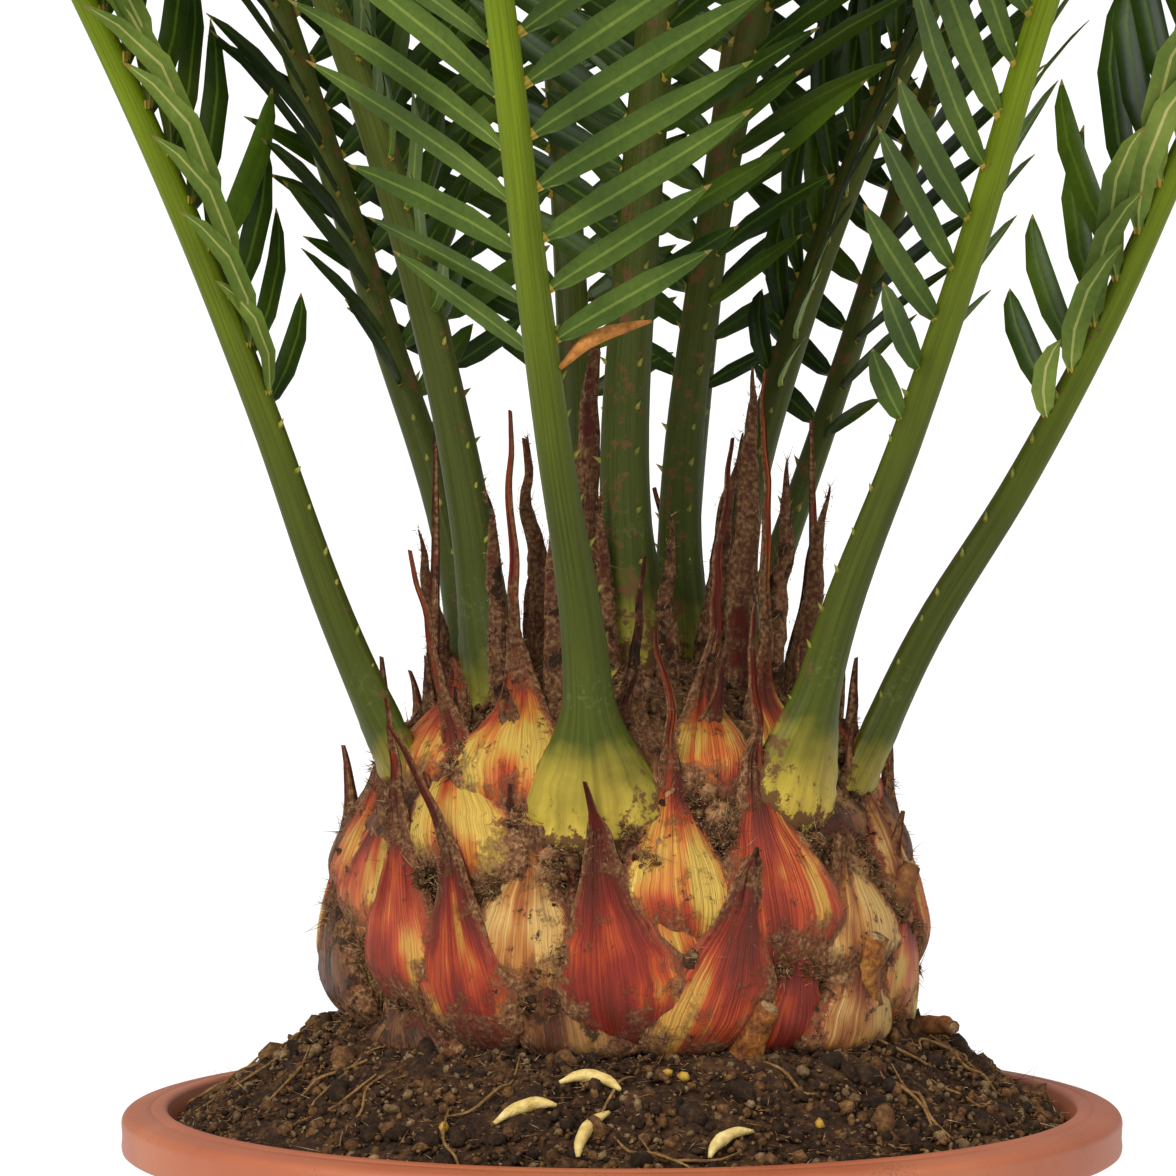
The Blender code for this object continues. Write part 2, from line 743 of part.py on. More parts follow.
def main():
    clear_scene()
    parts = new_collection(NAME)
    make_pot(parts)
    make_soil(parts)
    fronds = frond_sizes()
    trunk = make_trunk(fronds, parts)
    fixed = {"trunk": triangles(trunk.data)}
    for name, frond in fronds.items():
        fixed[name] = triangles(frond["mesh"])
    chosen = place_leaflets(fronds, fixed)
    green = new_material("frond_green", LEAF_GREEN, 0.45)
    for name, frond in fronds.items():
        made = make_frond(name, frond, chosen[name], parts, green)
        print(name, len(chosen[name]), "leaflets", len(made.data.polygons), "triangles")
    print("trunk", len(trunk.data.polygons), "triangles")


main()
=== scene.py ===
# %% [markdown]
# A sago palm in a plastic nursery pot, dressed for the camera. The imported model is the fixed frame: it
# says where the pot, the soil, the trunk and each frond are, and every piece made here stands in for
# one of them. All lengths are metres, so a small constant turns millimetres into them.

import math
import random

import bmesh
import bpy
import numpy as np
from mathutils import Matrix, Vector, noise


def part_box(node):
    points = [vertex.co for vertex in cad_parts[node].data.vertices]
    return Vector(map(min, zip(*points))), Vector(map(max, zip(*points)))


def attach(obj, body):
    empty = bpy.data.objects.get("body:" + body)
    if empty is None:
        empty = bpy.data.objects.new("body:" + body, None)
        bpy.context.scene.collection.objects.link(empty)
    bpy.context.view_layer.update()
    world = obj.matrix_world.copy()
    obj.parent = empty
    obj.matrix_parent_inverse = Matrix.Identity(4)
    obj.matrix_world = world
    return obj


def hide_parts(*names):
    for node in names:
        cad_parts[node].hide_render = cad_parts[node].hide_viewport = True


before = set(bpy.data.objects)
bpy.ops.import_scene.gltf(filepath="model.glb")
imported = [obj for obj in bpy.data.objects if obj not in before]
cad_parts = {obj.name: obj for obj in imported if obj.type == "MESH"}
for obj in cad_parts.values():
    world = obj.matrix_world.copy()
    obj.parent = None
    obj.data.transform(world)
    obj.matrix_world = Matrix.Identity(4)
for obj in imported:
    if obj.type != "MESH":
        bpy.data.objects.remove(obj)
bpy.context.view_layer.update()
MM = 0.001

# %% [markdown]
# A shader works in linear light, while a colour picker and a photograph work in sRGB. Every colour in
# this file is an sRGB hex code, and one function turns it to linear.
# Building node trees by hand is wordy, so a second function adds one node with its settings and links.
# It finds a socket by its shown name, because a Mix node hides several sockets of the same name.

# %% Colours and shader nodes
def colour(code):
    parts = [int(code[place : place + 2], 16) / 255.0 for place in (1, 3, 5)]
    return (*[p / 12.92 if p <= 0.04045 else ((p + 0.055) / 1.055) ** 2.4 for p in parts], 1.0)


def add(tree, kind, wires=None, stops=None, **settings):
    made = tree.nodes.new("ShaderNode" + kind)
    for name, value in settings.items():
        setattr(made, name, value)
    for name, value in (wires or {}).items():
        named = [s for s in made.inputs if s.enabled and s.name == name]
        socket = made.inputs[name] if isinstance(name, int) else named[0]
        if isinstance(value, bpy.types.Node):
            value = next(s for s in value.outputs if s.enabled)
        if isinstance(value, bpy.types.NodeSocket):
            tree.links.new(value, socket)
        else:
            socket.default_value = colour(value) if isinstance(value, str) else value
    if stops:
        band = made.color_ramp.elements
        band.remove(band[1])
        band[0].position = stops[0][0]
        band[0].color = colour(stops[0][1])
        for place, code in stops[1:]:
            band.new(place).color = colour(code)
    return made


def new_material(name):
    made = bpy.data.materials.new(name)
    made.use_nodes = True
    made.node_tree.nodes.clear()
    return made, made.node_tree


def finish_material(tree, **wires):
    named = {name.replace("_", " "): value for name, value in wires.items()}
    shader = add(tree, "BsdfPrincipled", named)
    add(tree, "OutputMaterial", {"Surface": shader})


print("white is", colour("#ffffff"))

# %% [markdown]
# Leaves, scales, crumbs and hairs are each one small shape repeated many times. The shape is made once
# with bmesh operators and read out as arrays; numpy then bends and places every copy in one step. That
# is far quicker than hundreds of objects, and the result is plain mesh that any program can read.

# %% Arrays in, meshes out
def arrays(shape):
    """A bmesh's points, triangles and material numbers. The bmesh is freed."""
    bmesh.ops.triangulate(shape, faces=shape.faces)
    shape.verts.index_update()
    points = np.array([v.co[:] for v in shape.verts])
    faces = np.array([[v.index for v in f.verts] for f in shape.faces])
    tints = np.array([f.material_index for f in shape.faces])
    shape.free()
    return points, faces, tints


def repeated(faces, count, size):
    """The triangles of many copies of one shape of a given number of points."""
    return (faces[None] + np.arange(count)[:, None, None] * size).reshape(-1, 3)


def as_mesh(name, shape):
    """A mesh from a bmesh, which is freed."""
    mesh = bpy.data.meshes.new(name)
    shape.to_mesh(mesh)
    shape.free()
    return mesh


def mesh_of(name, points, faces, tints=None, marks=None):
    """A mesh from arrays. Marks are named vectors at its points, for its material to read."""
    mesh = bpy.data.meshes.new(name)
    mesh.from_pydata(points.reshape(-1, 3), [], faces)
    if tints is not None:
        mesh.polygons.foreach_set("material_index", np.asarray(tints, np.int32))
    for mark, values in (marks or {}).items():
        made = mesh.attributes.new(mark, "FLOAT_VECTOR", "POINT")
        made.data.foreach_set("vector", np.asarray(values, np.float32).ravel())
    return mesh


def show(name, mesh, materials, nodes=(), sharp=None):
    """Puts a mesh in the scene as a piece that rides on the plant's one body. Edges bent by more than a
    sharp angle stay sharp, and the rest is shaded smooth."""
    for material in materials:
        mesh.materials.append(material)
    mesh.shade_smooth()
    if sharp:
        mesh.set_sharp_from_angle(angle=math.radians(sharp))
    made = bpy.data.objects.new(name, mesh)
    bpy.context.scene.collection.objects.link(made)
    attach(made, "root")
    if nodes:
        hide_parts(*nodes)
    print(name, sum(len(face.vertices) - 2 for face in mesh.polygons), "triangles")


# %% [markdown]
# The photograph looks almost level at the plant, a little from above, through a long lens. The camera
# stands where the pot's rim and the trunk line up with it. The lens is worked out from how many pixels
# one radian covers in the picture, which is 1176 pixels wide.

# %% Camera
PICTURE = 1176
PIXELS_PER_RADIAN = 8674.0
SENSOR = 36.0
FURTHEST_SEEN = 400.0
DISTANCE = 1.55
ELEVATION = math.radians(7.7)
RIM_HEIGHT_PIXEL = 1103
AIM_SIDE = -0.0061
_, pot_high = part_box("pot")
camera = bpy.data.objects.new("camera", bpy.data.cameras.new("camera"))
bpy.context.scene.collection.objects.link(camera)
bpy.context.scene.camera = camera
camera.data.sensor_width = SENSOR
camera.data.lens = SENSOR * PIXELS_PER_RADIAN / PICTURE
camera.data.clip_end = FURTHEST_SEEN
drop = math.atan((RIM_HEIGHT_PIXEL - PICTURE / 2.0) / PIXELS_PER_RADIAN)
camera.location = (AIM_SIDE, -DISTANCE, pot_high.z + DISTANCE * math.tan(ELEVATION))
camera.rotation_euler = (math.pi / 2.0 - (ELEVATION - drop), 0.0, 0.0)
print("lens", round(camera.data.lens, 1), "mm")

# %% [markdown]
# The photograph has the even light of a white studio. Two broad suns stand for large soft boxes, the
# stronger one at the upper left front, and a dim white world fills the shadows. A brighter world would
# lay a pale film over every dark leaf. The floor is a pale sheet, far wider than the view. A sun is
# given by its name, strength, width, tilt and turn, the last three in degrees.

# %% Light and floor
STUDIO_WHITE = "#fbfbfa"
WORLD_STRENGTH = 0.42
SUNS = (("soft_key", 2.9, 36, 50, -36), ("soft_fill", 1.1, 60, 50, 40))
FLOOR_SIZE = 150.0
scene = bpy.context.scene
scene.view_settings.view_transform = "Standard"
world = bpy.data.worlds.new("studio")
world.use_nodes = True
scene.world = world
air = world.node_tree.nodes["Background"].inputs
air["Color"].default_value = colour("#ffffff")
air["Strength"].default_value = WORLD_STRENGTH
for name, energy, width, tilt, turn in SUNS:
    sun = bpy.data.objects.new(name, bpy.data.lights.new(name, "SUN"))
    sun.data.energy = energy
    sun.data.angle = math.radians(width)
    sun.rotation_euler = (math.radians(tilt), 0.0, math.radians(turn))
    scene.collection.objects.link(sun)
sheet = bmesh.new()
bmesh.ops.create_grid(sheet, x_segments=1, y_segments=1, size=FLOOR_SIZE)
floor = bpy.data.objects.new("floor", as_mesh("floor", sheet))
scene.collection.objects.link(floor)
paper, tree = new_material("pale_studio_paper")
finish_material(tree, Base_Color=STUDIO_WHITE, Roughness=0.9)
floor.data.materials.append(paper)
print(len(SUNS), "suns over a pale floor")

# %% [markdown]
# The pot is a thermoformed or thin moulded plastic nursery pot. Its walls taper, and its lip rolls
# outward and turns down into a skirt. A round thing like this is a profile that is spun round the
# axis; corners are short arcs, because moulded plastic has no sharp edge and an arc is what catches
# the light along the rim.

# %% Pot: the profile
RIM = pot_high.x
HEIGHT = pot_high.z
WALL = 1.5 * MM
BODY_TOP = 83.0 * MM
BODY_FOOT = 61.5 * MM
SKIRT = 8.2 * MM
FLOOR_THICK = 1.6 * MM
CHANNEL = (38.5 * MM, 55.5 * MM)
CHANNEL_DEPTH = 2.5 * MM
CHANNEL_SLOPE = 1.8 * MM
DRAINS = 8
DRAIN_RADIUS = 4.5 * MM
POT_STEPS = 192


def arc(centre, radius, start, end, steps=5):
    """Points of an arc in the profile, by angles in degrees from straight out."""
    angles = np.radians(np.linspace(start, end, steps))
    return [(centre[0] + radius * math.cos(a), centre[1] + radius * math.sin(a)) for a in angles]


def wall_radius(height):
    share = (height - FLOOR_THICK) / (HEIGHT - FLOOR_THICK)
    return BODY_FOOT - WALL + (BODY_TOP - BODY_FOOT) * share


def pot_profile():
    raised = CHANNEL_DEPTH + FLOOR_THICK
    rows = [(0.0, FLOOR_THICK), (CHANNEL[0] - CHANNEL_SLOPE, FLOOR_THICK), (CHANNEL[0], raised)]
    rows += [(CHANNEL[1], raised), (CHANNEL[1] + CHANNEL_SLOPE, FLOOR_THICK)]
    rows += [(wall_radius(height), height) for height in np.linspace(FLOOR_THICK, HEIGHT - 2.0 * MM, 8)]
    rows += arc((BODY_TOP - 0.4 * MM, HEIGHT - 1.1 * MM), 1.0 * MM, 180, 95)
    rows += [(BODY_TOP + 1.2 * MM, HEIGHT - 0.3 * MM), (BODY_TOP + 1.7 * MM, HEIGHT - 0.6 * MM)]
    rows += [(BODY_TOP + 2.2 * MM, HEIGHT - 0.4 * MM), (BODY_TOP + 3.6 * MM, HEIGHT - 0.6 * MM)]
    rows += arc((RIM - 2.0 * MM, HEIGHT - 2.9 * MM), 2.0 * MM, 80, 0, 7)
    rows += [(RIM - 0.15 * MM, HEIGHT - 5.4 * MM), (RIM, HEIGHT - SKIRT + 1.2 * MM)]
    rows += arc((RIM - 0.75 * MM, HEIGHT - SKIRT + 0.6 * MM), 0.7 * MM, 0, -180, 6)
    rows += [(RIM - WALL, HEIGHT - 3.6 * MM), (BODY_TOP + 0.6 * MM, HEIGHT - 2.6 * MM)]
    rows += [(BODY_TOP, HEIGHT - 5.0 * MM), (BODY_TOP - 0.6 * MM, HEIGHT - SKIRT - 2.6 * MM)]
    rows += arc((BODY_TOP - 0.5 * MM, HEIGHT - SKIRT - 3.4 * MM), 0.5 * MM, 60, -60, 5)
    rows += [(BODY_TOP - 0.9 * MM, HEIGHT - SKIRT - 4.4 * MM), (BODY_FOOT + 0.2 * MM, 2.0 * MM)]
    rows += arc((BODY_FOOT - 1.3 * MM, 1.3 * MM), 1.3 * MM, 0, -90, 4)
    rows += [(CHANNEL[1] + CHANNEL_SLOPE, 0.0), (CHANNEL[1], CHANNEL_DEPTH)]
    return rows + [(CHANNEL[0], CHANNEL_DEPTH), (CHANNEL[0] - CHANNEL_SLOPE, 0.0), (0.0, 0.0)]


def spun(profile, steps):
    """A closed round bmesh from a profile of (radius, height)."""
    shape = bmesh.new()
    ring = [shape.verts.new((radius, 0.0, height)) for radius, height in profile]
    ring += [shape.edges.new(pair) for pair in zip(ring, ring[1:])]
    full = dict(cent=(0, 0, 0), axis=(0, 0, 1), angle=math.tau, steps=steps, use_merge=True)
    bmesh.ops.spin(shape, geom=ring, **full)
    bmesh.ops.remove_doubles(shape, verts=shape.verts, dist=MM * 0.001)
    bmesh.ops.recalc_face_normals(shape, faces=shape.faces)
    return shape


print("the pot's profile has", len(pot_profile()), "points")

# %% [markdown]
# Polypropylene for pots is dyed right through in a terracotta colour and left half matt by the mould,
# which is why it looks like plastic and not like paint. The mould's own grain would be too fine to
# show, so it is drawn coarser, at 0.7 mm. A filled pot is never clean: fine specks of soil lie on it
# in patches. The drain holes are drilled with a Boolean modifier that is applied at once.

# %% Pot: plastic
DRILL_LENGTH = 20 * MM
DRILL_SIDES = 24


def moulded_plastic():
    made, tree = new_material("moulded_terracotta_polypropylene")
    place = add(tree, "TexCoord").outputs["Object"]
    cloud = add(tree, "TexNoise", {"Vector": place, "Scale": 1.0 / (30 * MM), "Detail": 3.0})
    clay = [(0.30, "#9d5334"), (0.55, "#a75d3b"), (0.75, "#b06845")]
    body = add(tree, "ValToRGB", {"Fac": cloud}, stops=clay)
    speck = add(tree, "TexNoise", {"Vector": place, "Scale": 1.0 / (0.5 * MM), "Detail": 1.0})
    sparse = add(tree, "TexNoise", {"Vector": place, "Scale": 1.0 / (14 * MM), "Detail": 1.0})
    both = add(tree, "Math", {0: speck, 1: sparse}, operation="MULTIPLY")
    dust = add(tree, "MapRange", {"Value": both, "From Min": 0.37, "From Max": 0.46, "To Max": 0.4})
    dirty = add(tree, "Mix", {"Factor": dust, "A": body, "B": "#54321f"}, data_type="RGBA")
    grain = add(tree, "TexNoise", {"Vector": place, "Scale": 1.0 / (0.7 * MM), "Detail": 2.0})
    matt = add(tree, "MapRange", {"Value": grain, "To Min": 0.42, "To Max": 0.56})
    bump = add(tree, "Bump", {"Height": grain, "Strength": 0.12, "Distance": 0.2 * MM})
    finish_material(tree, Base_Color=dirty, Roughness=matt, Normal=bump, IOR=1.49)
    return made


def drain_drills():
    """A ring of upright rods, one for each drain hole, under the raised channel."""
    rods = bmesh.new()
    size = dict(segments=DRILL_SIDES, radius1=DRAIN_RADIUS, radius2=DRAIN_RADIUS, depth=DRILL_LENGTH)
    for count in range(DRAINS):
        turn = Matrix.Rotation(math.tau * count / DRAINS, 4, "Z")
        place = turn @ Matrix.Translation((sum(CHANNEL) / 2.0, 0.0, 0.0))
        bmesh.ops.create_cone(rods, cap_ends=True, matrix=place, **size)
    return rods


def make_pot():
    drill = bpy.data.objects.new("drill", as_mesh("drill", drain_drills()))
    body = bpy.data.objects.new("body", as_mesh("nursery_pot", spun(pot_profile(), POT_STEPS)))
    for used in (drill, body):
        scene.collection.objects.link(used)
    cut = body.modifiers.new("drains", "BOOLEAN")
    cut.object = drill
    cut.operation = "DIFFERENCE"
    bpy.context.view_layer.update()
    drilled = bpy.data.meshes.new_from_object(body.evaluated_get(bpy.context.evaluated_depsgraph_get()))
    for used in (drill, body):
        bpy.data.objects.remove(used, do_unlink=True)
    show("nursery_pot", drilled, [moulded_plastic()], ["pot"], sharp=40.0)


make_pot()

# %% [markdown]
# A heap of soil, a dry scale and a leaflet have no straight line and no even surface. Two helpers shape
# them all: one reads a smooth curve through a few chosen keys, and one gives soft noise whose bumps
# have a real size. Both work on whole arrays of points.

# %% Smooth curves and noise
def flowing(keys, at):
    """Reads a smooth curve through (place, value) keys at one place or at many."""
    xs, ys = np.array(keys, float).T
    slopes = np.gradient(ys, xs)
    at = np.clip(at, xs[0], xs[-1])
    low = np.clip(np.searchsorted(xs, at, side="right") - 1, 0, len(xs) - 2)
    wide = xs[low + 1] - xs[low]
    t = (at - xs[low]) / wide
    rise = (2 * t**3 - 3 * t**2 + 1) * ys[low] + (3 * t**2 - 2 * t**3) * ys[low + 1]
    return rise + ((t**3 - 2 * t**2 + t) * slopes[low] + (t**3 - t**2) * slopes[low + 1]) * wide


def rough(points, size, seed=0.0, octaves=3):
    """Soft noise from about -1 to 1 at each point, with bumps of a given size."""
    shift = Vector((seed, seed * 0.7, -seed))
    places = (Vector(p) / size + shift for p in np.reshape(points, (-1, 3)))
    return np.array([noise.fractal(p, 0.9, 2.0, octaves) for p in places])


print("half way up a smooth curve from 0 to 1 is", float(flowing(((0, 0), (1, 1)), 0.5)))

# %% [markdown]
# Potting soil is peat, bark and fibre: a dark, open heap with crumbs from dust up to clods of several
# millimetres. A bump map alone looks like sandpaper near the camera. So the heap's surface is a spun
# profile that is pushed about by noise, and thousands of loose crumbs lie on it and half in it.

# %% Soil: the heap
soil_low, soil_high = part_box("soil")
GROUND = soil_high.z
SOIL_EDGE = HEIGHT - 3.5 * MM
SOIL_GAP = 0.3 * MM
SOIL_KEYS = (
    (0.0, GROUND - 0.8 * MM),
    (52.0 * MM, GROUND - 0.8 * MM),
    (57.0 * MM, GROUND - 2.8 * MM),
    (64.0 * MM, GROUND - 8.0 * MM),
    (72.0 * MM, GROUND - 13.5 * MM),
    (81.0 * MM, SOIL_EDGE - 0.6 * MM),
)
SOIL_RINGS = 70
SOIL_STEPS = 300


def soil_height(radius):
    return flowing(SOIL_KEYS, radius)


def soil_heap():
    edge = wall_radius(SOIL_EDGE) - SOIL_GAP
    rows = [(radius, soil_height(radius)) for radius in np.linspace(0.0, edge, SOIL_RINGS)]
    bottom = soil_low.z
    rows += [(wall_radius(bottom) - SOIL_GAP, bottom), (0.0, bottom)]
    shape = spun(rows, SOIL_STEPS)
    tops = [v for v in shape.verts if v.co.z > SOIL_EDGE - 3.0 * MM]
    places = np.array([v.co[:] for v in tops])
    lumps = rough(places, 7.0 * MM, 3.0, 2) * 1.4 + rough(places, 2.0 * MM, 9.0, 3)
    for vertex, lump in zip(tops, lumps):
        inside = min(1.0, (edge - vertex.co.xy.length) / (2.0 * MM))
        vertex.co.z += lump * MM * max(0.15, inside)
    return shape


print("the soil rises", round((GROUND - HEIGHT) / MM), "mm over the rim")

# %% [markdown]
# Soil has no single colour. Peat is near black where it is moist, wood fibre is fox brown, and dry
# crumbs are grey brown. The heap mixes such colours by noise. Crumbs have three materials of their own,
# which are dealt out crumb by crumb. All are as matt as a surface can be. The same function later
# makes every other dry, earthy finish: wool, husks, roots and grit.

# %% Soil: materials
def earth(name, dark, middle, light, grain_mm, roughness=0.95):
    """A dry, matt finish in three tones, with a grain of a real size and blotches four times as large."""
    made, tree = new_material(name)
    place = add(tree, "TexCoord").outputs["Object"]
    blotch = add(tree, "TexNoise", {"Vector": place, "Scale": 1.0 / (grain_mm * 4 * MM), "Detail": 4.0})
    rugged = {"Vector": place, "Scale": 1.0 / (grain_mm * MM), "Detail": 5.0, "Roughness": 0.7}
    grain = add(tree, "TexNoise", rugged)
    mixed = add(tree, "Math", {0: blotch, 1: grain}, operation="ADD")
    half = add(tree, "Math", {0: mixed, 1: 0.5}, operation="MULTIPLY")
    tone = add(tree, "ValToRGB", {"Fac": half}, stops=[(0.36, dark), (0.52, middle), (0.68, light)])
    bump = add(tree, "Bump", {"Height": grain, "Strength": 0.9, "Distance": grain_mm * 0.4 * MM})
    finish_material(tree, Base_Color=tone, Roughness=roughness, Normal=bump, Specular_IOR_Level=0.2)
    return made


peat = earth("moist_peat", "#180e08", "#362212", "#5a3f24", 1.2)
CRUMB_FINISHES = [
    earth("black_peat_crumb", "#160e08", "#2e1f12", "#4b3620", 0.8),
    earth("brown_wood_fibre_crumb", "#33200f", "#5a3d22", "#86623a", 0.8),
    earth("dry_grey_crumb", "#43321f", "#6e5639", "#98805a", 0.8),
]
show("potting_soil", as_mesh("potting_soil", soil_heap()), [peat], ["soil"])

# %% [markdown]
# Crumbs, hairs and roots are too many to lay by hand. One seeded source of chance deals out their
# places, turns and sizes, so that every run gives the same plant. Sizes follow a curve with many small
# ones and few large ones, as real crumbs and hairs do.

# %% Chance
CHANCE_SEED = 11
dice = np.random.default_rng(CHANCE_SEED)


def unit(vectors):
    return vectors / np.maximum(np.linalg.norm(vectors, axis=-1, keepdims=True), 1e-9)


def mostly_small(count, least, steep, most):
    """Sizes from the least one (in mm) up to so many times it. The steeper, the fewer large ones."""
    return least * MM * (1.0 + dice.pareto(steep, count)).clip(max=most)


def turns(count):
    """Random turns as matrices, from random unit quaternions."""
    w, x, y, z = unit(dice.normal(size=(count, 4))).T
    rows = [
        [1 - 2 * (y * y + z * z), 2 * (x * y - z * w), 2 * (x * z + y * w)],
        [2 * (x * y + z * w), 1 - 2 * (x * x + z * z), 2 * (y * z - x * w)],
        [2 * (x * z - y * w), 2 * (y * z + x * w), 1 - 2 * (x * x + y * y)],
    ]
    return np.array(rows).transpose(2, 0, 1)


def on_heap(count, inner, outer, lift):
    """Places by chance on the heap, between two radii."""
    radius = np.sqrt(dice.uniform(inner**2, outer**2, count))
    angle = dice.uniform(0.0, math.tau, count)
    height = soil_height(radius) + lift
    return np.stack((radius * np.cos(angle), radius * np.sin(angle), height), axis=1)


print("chance starts from seed", CHANCE_SEED)

# %% [markdown]
# A crumb is a small ball with a coarse, knobbly outline. A few balls are made once and knocked out of
# round, plainer ones for crumbs and finer ones for clods. Each copy gets its own stretch, turn and
# size, so no two look alike, and they lie by chance on the heap, mostly small, with a few clods.

# %% Soil: loose crumbs
CRUMBS = 9500
CLODS = 170


def knobbly(subdivisions, seed):
    """A ball that is knocked out of round, as arrays."""
    shape = bmesh.new()
    bmesh.ops.create_icosphere(shape, subdivisions=subdivisions, radius=1.0)
    places = np.array([v.co[:] for v in shape.verts])
    for vertex, lump in zip(shape.verts, rough(places, 0.9, seed, 2)):
        vertex.co *= 1.0 + 0.45 * lump
    return arrays(shape)


def scattered(shapes, places, sizes, kinds, flat=0.6):
    """Copies of small shapes at places, each turned and stretched by chance."""
    points, faces, tints = [], [], []
    start = 0
    pick = dice.integers(0, len(shapes), len(places))
    for number, (corners, triangles, _) in enumerate(shapes):
        chosen = np.flatnonzero(pick == number)
        stretch = dice.uniform(flat, 1.25, (len(chosen), 1, 3)) * sizes[chosen, None, None]
        turned = np.einsum("kij,knj->kni", turns(len(chosen)), corners[None] * stretch)
        points.append((turned + places[chosen, None]).reshape(-1, 3))
        faces.append(repeated(triangles, len(chosen), len(corners)) + start)
        tints.append(np.repeat(kinds[chosen], len(triangles)))
        start += len(points[-1])
    return np.concatenate(points), np.concatenate(faces), np.concatenate(tints)


def show_crumbs(name, shapes, places, sizes, mix):
    """Puts crumbs in the scene: dark, brown and dry ones in the shares of a mix."""
    crumbs = scattered(shapes, places, sizes, dice.choice(3, len(places), p=mix))
    show(name, mesh_of(name, *crumbs), CRUMB_FINISHES)


CRUMB_BALLS = [knobbly(1, seed) for seed in (1.0, 2.0, 3.0, 4.0)]
GAP_BALLS = CRUMB_BALLS[:3]
CLOD_BALLS = [knobbly(2, seed) for seed in (5.0, 6.0, 7.0)]
crumb_sizes = mostly_small(CRUMBS, 0.34, 2.4, 4.0)
crumb_places = on_heap(CRUMBS, 38 * MM, 79.5 * MM, 0.4 * MM)
show_crumbs("soil_crumbs", CRUMB_BALLS, crumb_places, crumb_sizes, (0.46, 0.40, 0.14))
clod_sizes = dice.uniform(1.0, 2.6, CLODS) * MM
clod_places = on_heap(CLODS, 40 * MM, 78 * MM, 0.5 * MM)
show_crumbs("soil_clods", CLOD_BALLS, clod_places, clod_sizes, (0.5, 0.4, 0.1))

# %% [markdown]
# The trunk of a young sago palm is a squat dome. Nothing of its wood shows: it is covered by the
# swollen feet of old leaves and by pointed scales, with brown wool and soil between them. The core is
# a spun profile with noise, in the same sizes as the CAD trunk's, and everything else stands on it. Its
# rows are heights over the soil and radii, in millimetres.

# %% Trunk: the core
TRUNK_CORE = (
    (0.0, 45.5),
    (8.0, 48.0),
    (18.0, 49.0),
    (30.0, 46.5),
    (42.0, 41.5),
    (52.0, 36.5),
    (60.0, 27.0),
    (65.0, 13.0),
    (66.5, 0.0),
)
CORE_HEIGHTS, CORE_RADII = np.array(TRUNK_CORE).T * MM
CORE_STEPS = 160
TRUNK_CUT = 0.3 * MM


def core_radius(height):
    return np.interp(height, CORE_HEIGHTS, CORE_RADII)


def on_trunk(azimuth, height, outward=0.0):
    """A point at an azimuth (degrees from the front) and height on the core, or further out."""
    angle = np.radians(azimuth)
    radius = core_radius(height) + outward
    return np.stack(np.broadcast_arrays(radius * np.sin(angle), -radius * np.cos(angle), GROUND + height), -1)


def trunk_core():
    heights = np.concatenate((np.linspace(TRUNK_CUT, 60 * MM, 40), np.linspace(61 * MM, 66 * MM, 8)))
    rows = [(0.0, GROUND + CORE_HEIGHTS[-1])]
    rows += [(core_radius(height), GROUND + height) for height in heights[::-1]]
    rows += [(0.0, GROUND + TRUNK_CUT)]
    shape = spun(rows, CORE_STEPS)
    upper = [v for v in shape.verts if v.co.z > GROUND + 0.5 * MM]
    places = np.array([v.co[:] for v in upper])
    lumps = 0.8 + rough(places, 6.0 * MM, 21.0, 3) * 1.5 + rough(places, 1.8 * MM, 5.0, 2) * 0.8
    for vertex, lump in zip(upper, lumps):
        vertex.co += Vector((vertex.co.x, vertex.co.y, 0.0)).normalized() * lump * MM
    return shape


felt = earth("brown_felt_between_scales", "#281809", "#543821", "#8a653e", 1.0)
show("trunk_core", as_mesh("trunk_core", trunk_core()), [felt], ["trunk"])

# %% [markdown]
# The scales in front stand where the photograph shows them. Each is given by its azimuth from the
# front, its height over the soil, its width, the lengths of its body and spine, its tilt, how far its
# spine sways, how proud of the core it sits, and its finish. Lengths are millimetres and angles are
# degrees. The photograph doesn't show the back, so scales are dealt out there in rows, and plainer ones
# fill in behind them all. A row gives their height, width, body, spine, spacing in degrees, and rise.

# %% Trunk: the scales' places
FRONT_SCALES = (
    (-30, 49, 27, 32, 37, -12, -2, -0.6, "yellow"),
    (-41, 38, 28, 32, 27, -22, -18, 0.4, "yellow"),
    (-62, 27, 25, 30, 25, -18, -13, 0.4, "orange"),
    (-50, 19, 22, 35, 21, -10, -7, 1.4, "red"),
    (-31, 14, 20, 36, 22, -12, -31, 2.8, "crimson"),
    (-19, 20, 23, 34, 0, -2, 0, 0.2, "straw"),
    (-3, 16, 24, 38, 10, -6, -11, 2.0, "crimson"),
    (13, 29, 24, 34, 24, -2, -8, 0.4, "yellow"),
    (32, 27, 27, 38, 28, -1, -1, 1.2, "red"),
    (17, 12, 24, 34, 5, 20, 15, 2.4, "red"),
    (54, 6, 28, 26, 3, -3, 22, 2.4, "straw"),
    (52, 20, 26, 28, 1, 9, 0, 0.6, "straw"),
    (34, 8, 20, 26, 2, 10, 22, 1.2, "crimson"),
    (4, 21, 24, 26, 2, -6, -20, 0.2, "orange"),
    (-12, 7, 22, 26, 5, -6, -6, 1.0, "bark"),
    (-74, 12, 28, 30, 3, -14, -9, 1.4, "bark"),
    (-50, 2, 26, 22, 3, 6, 0, 1.8, "bark"),
    (-80, 30, 24, 30, 12, -6, -9, 0.4, "orange"),
    (72, 12, 25, 30, 10, 6, 8, 1.4, "orange"),
    (76, 30, 24, 32, 16, 8, 12, 0.4, "straw"),
    (25, 50, 20, 28, 34, 9, 8, -0.6, "orange"),
    (48, 50, 22, 28, 44, 12, 1, -0.6, "yellow"),
    (-64, 50, 22, 28, 26, -14, -12, -0.4, "orange"),
    (2, 48, 22, 26, 20, 4, 6, -1.0, "bark"),
)
FRONT_EDGE = 88
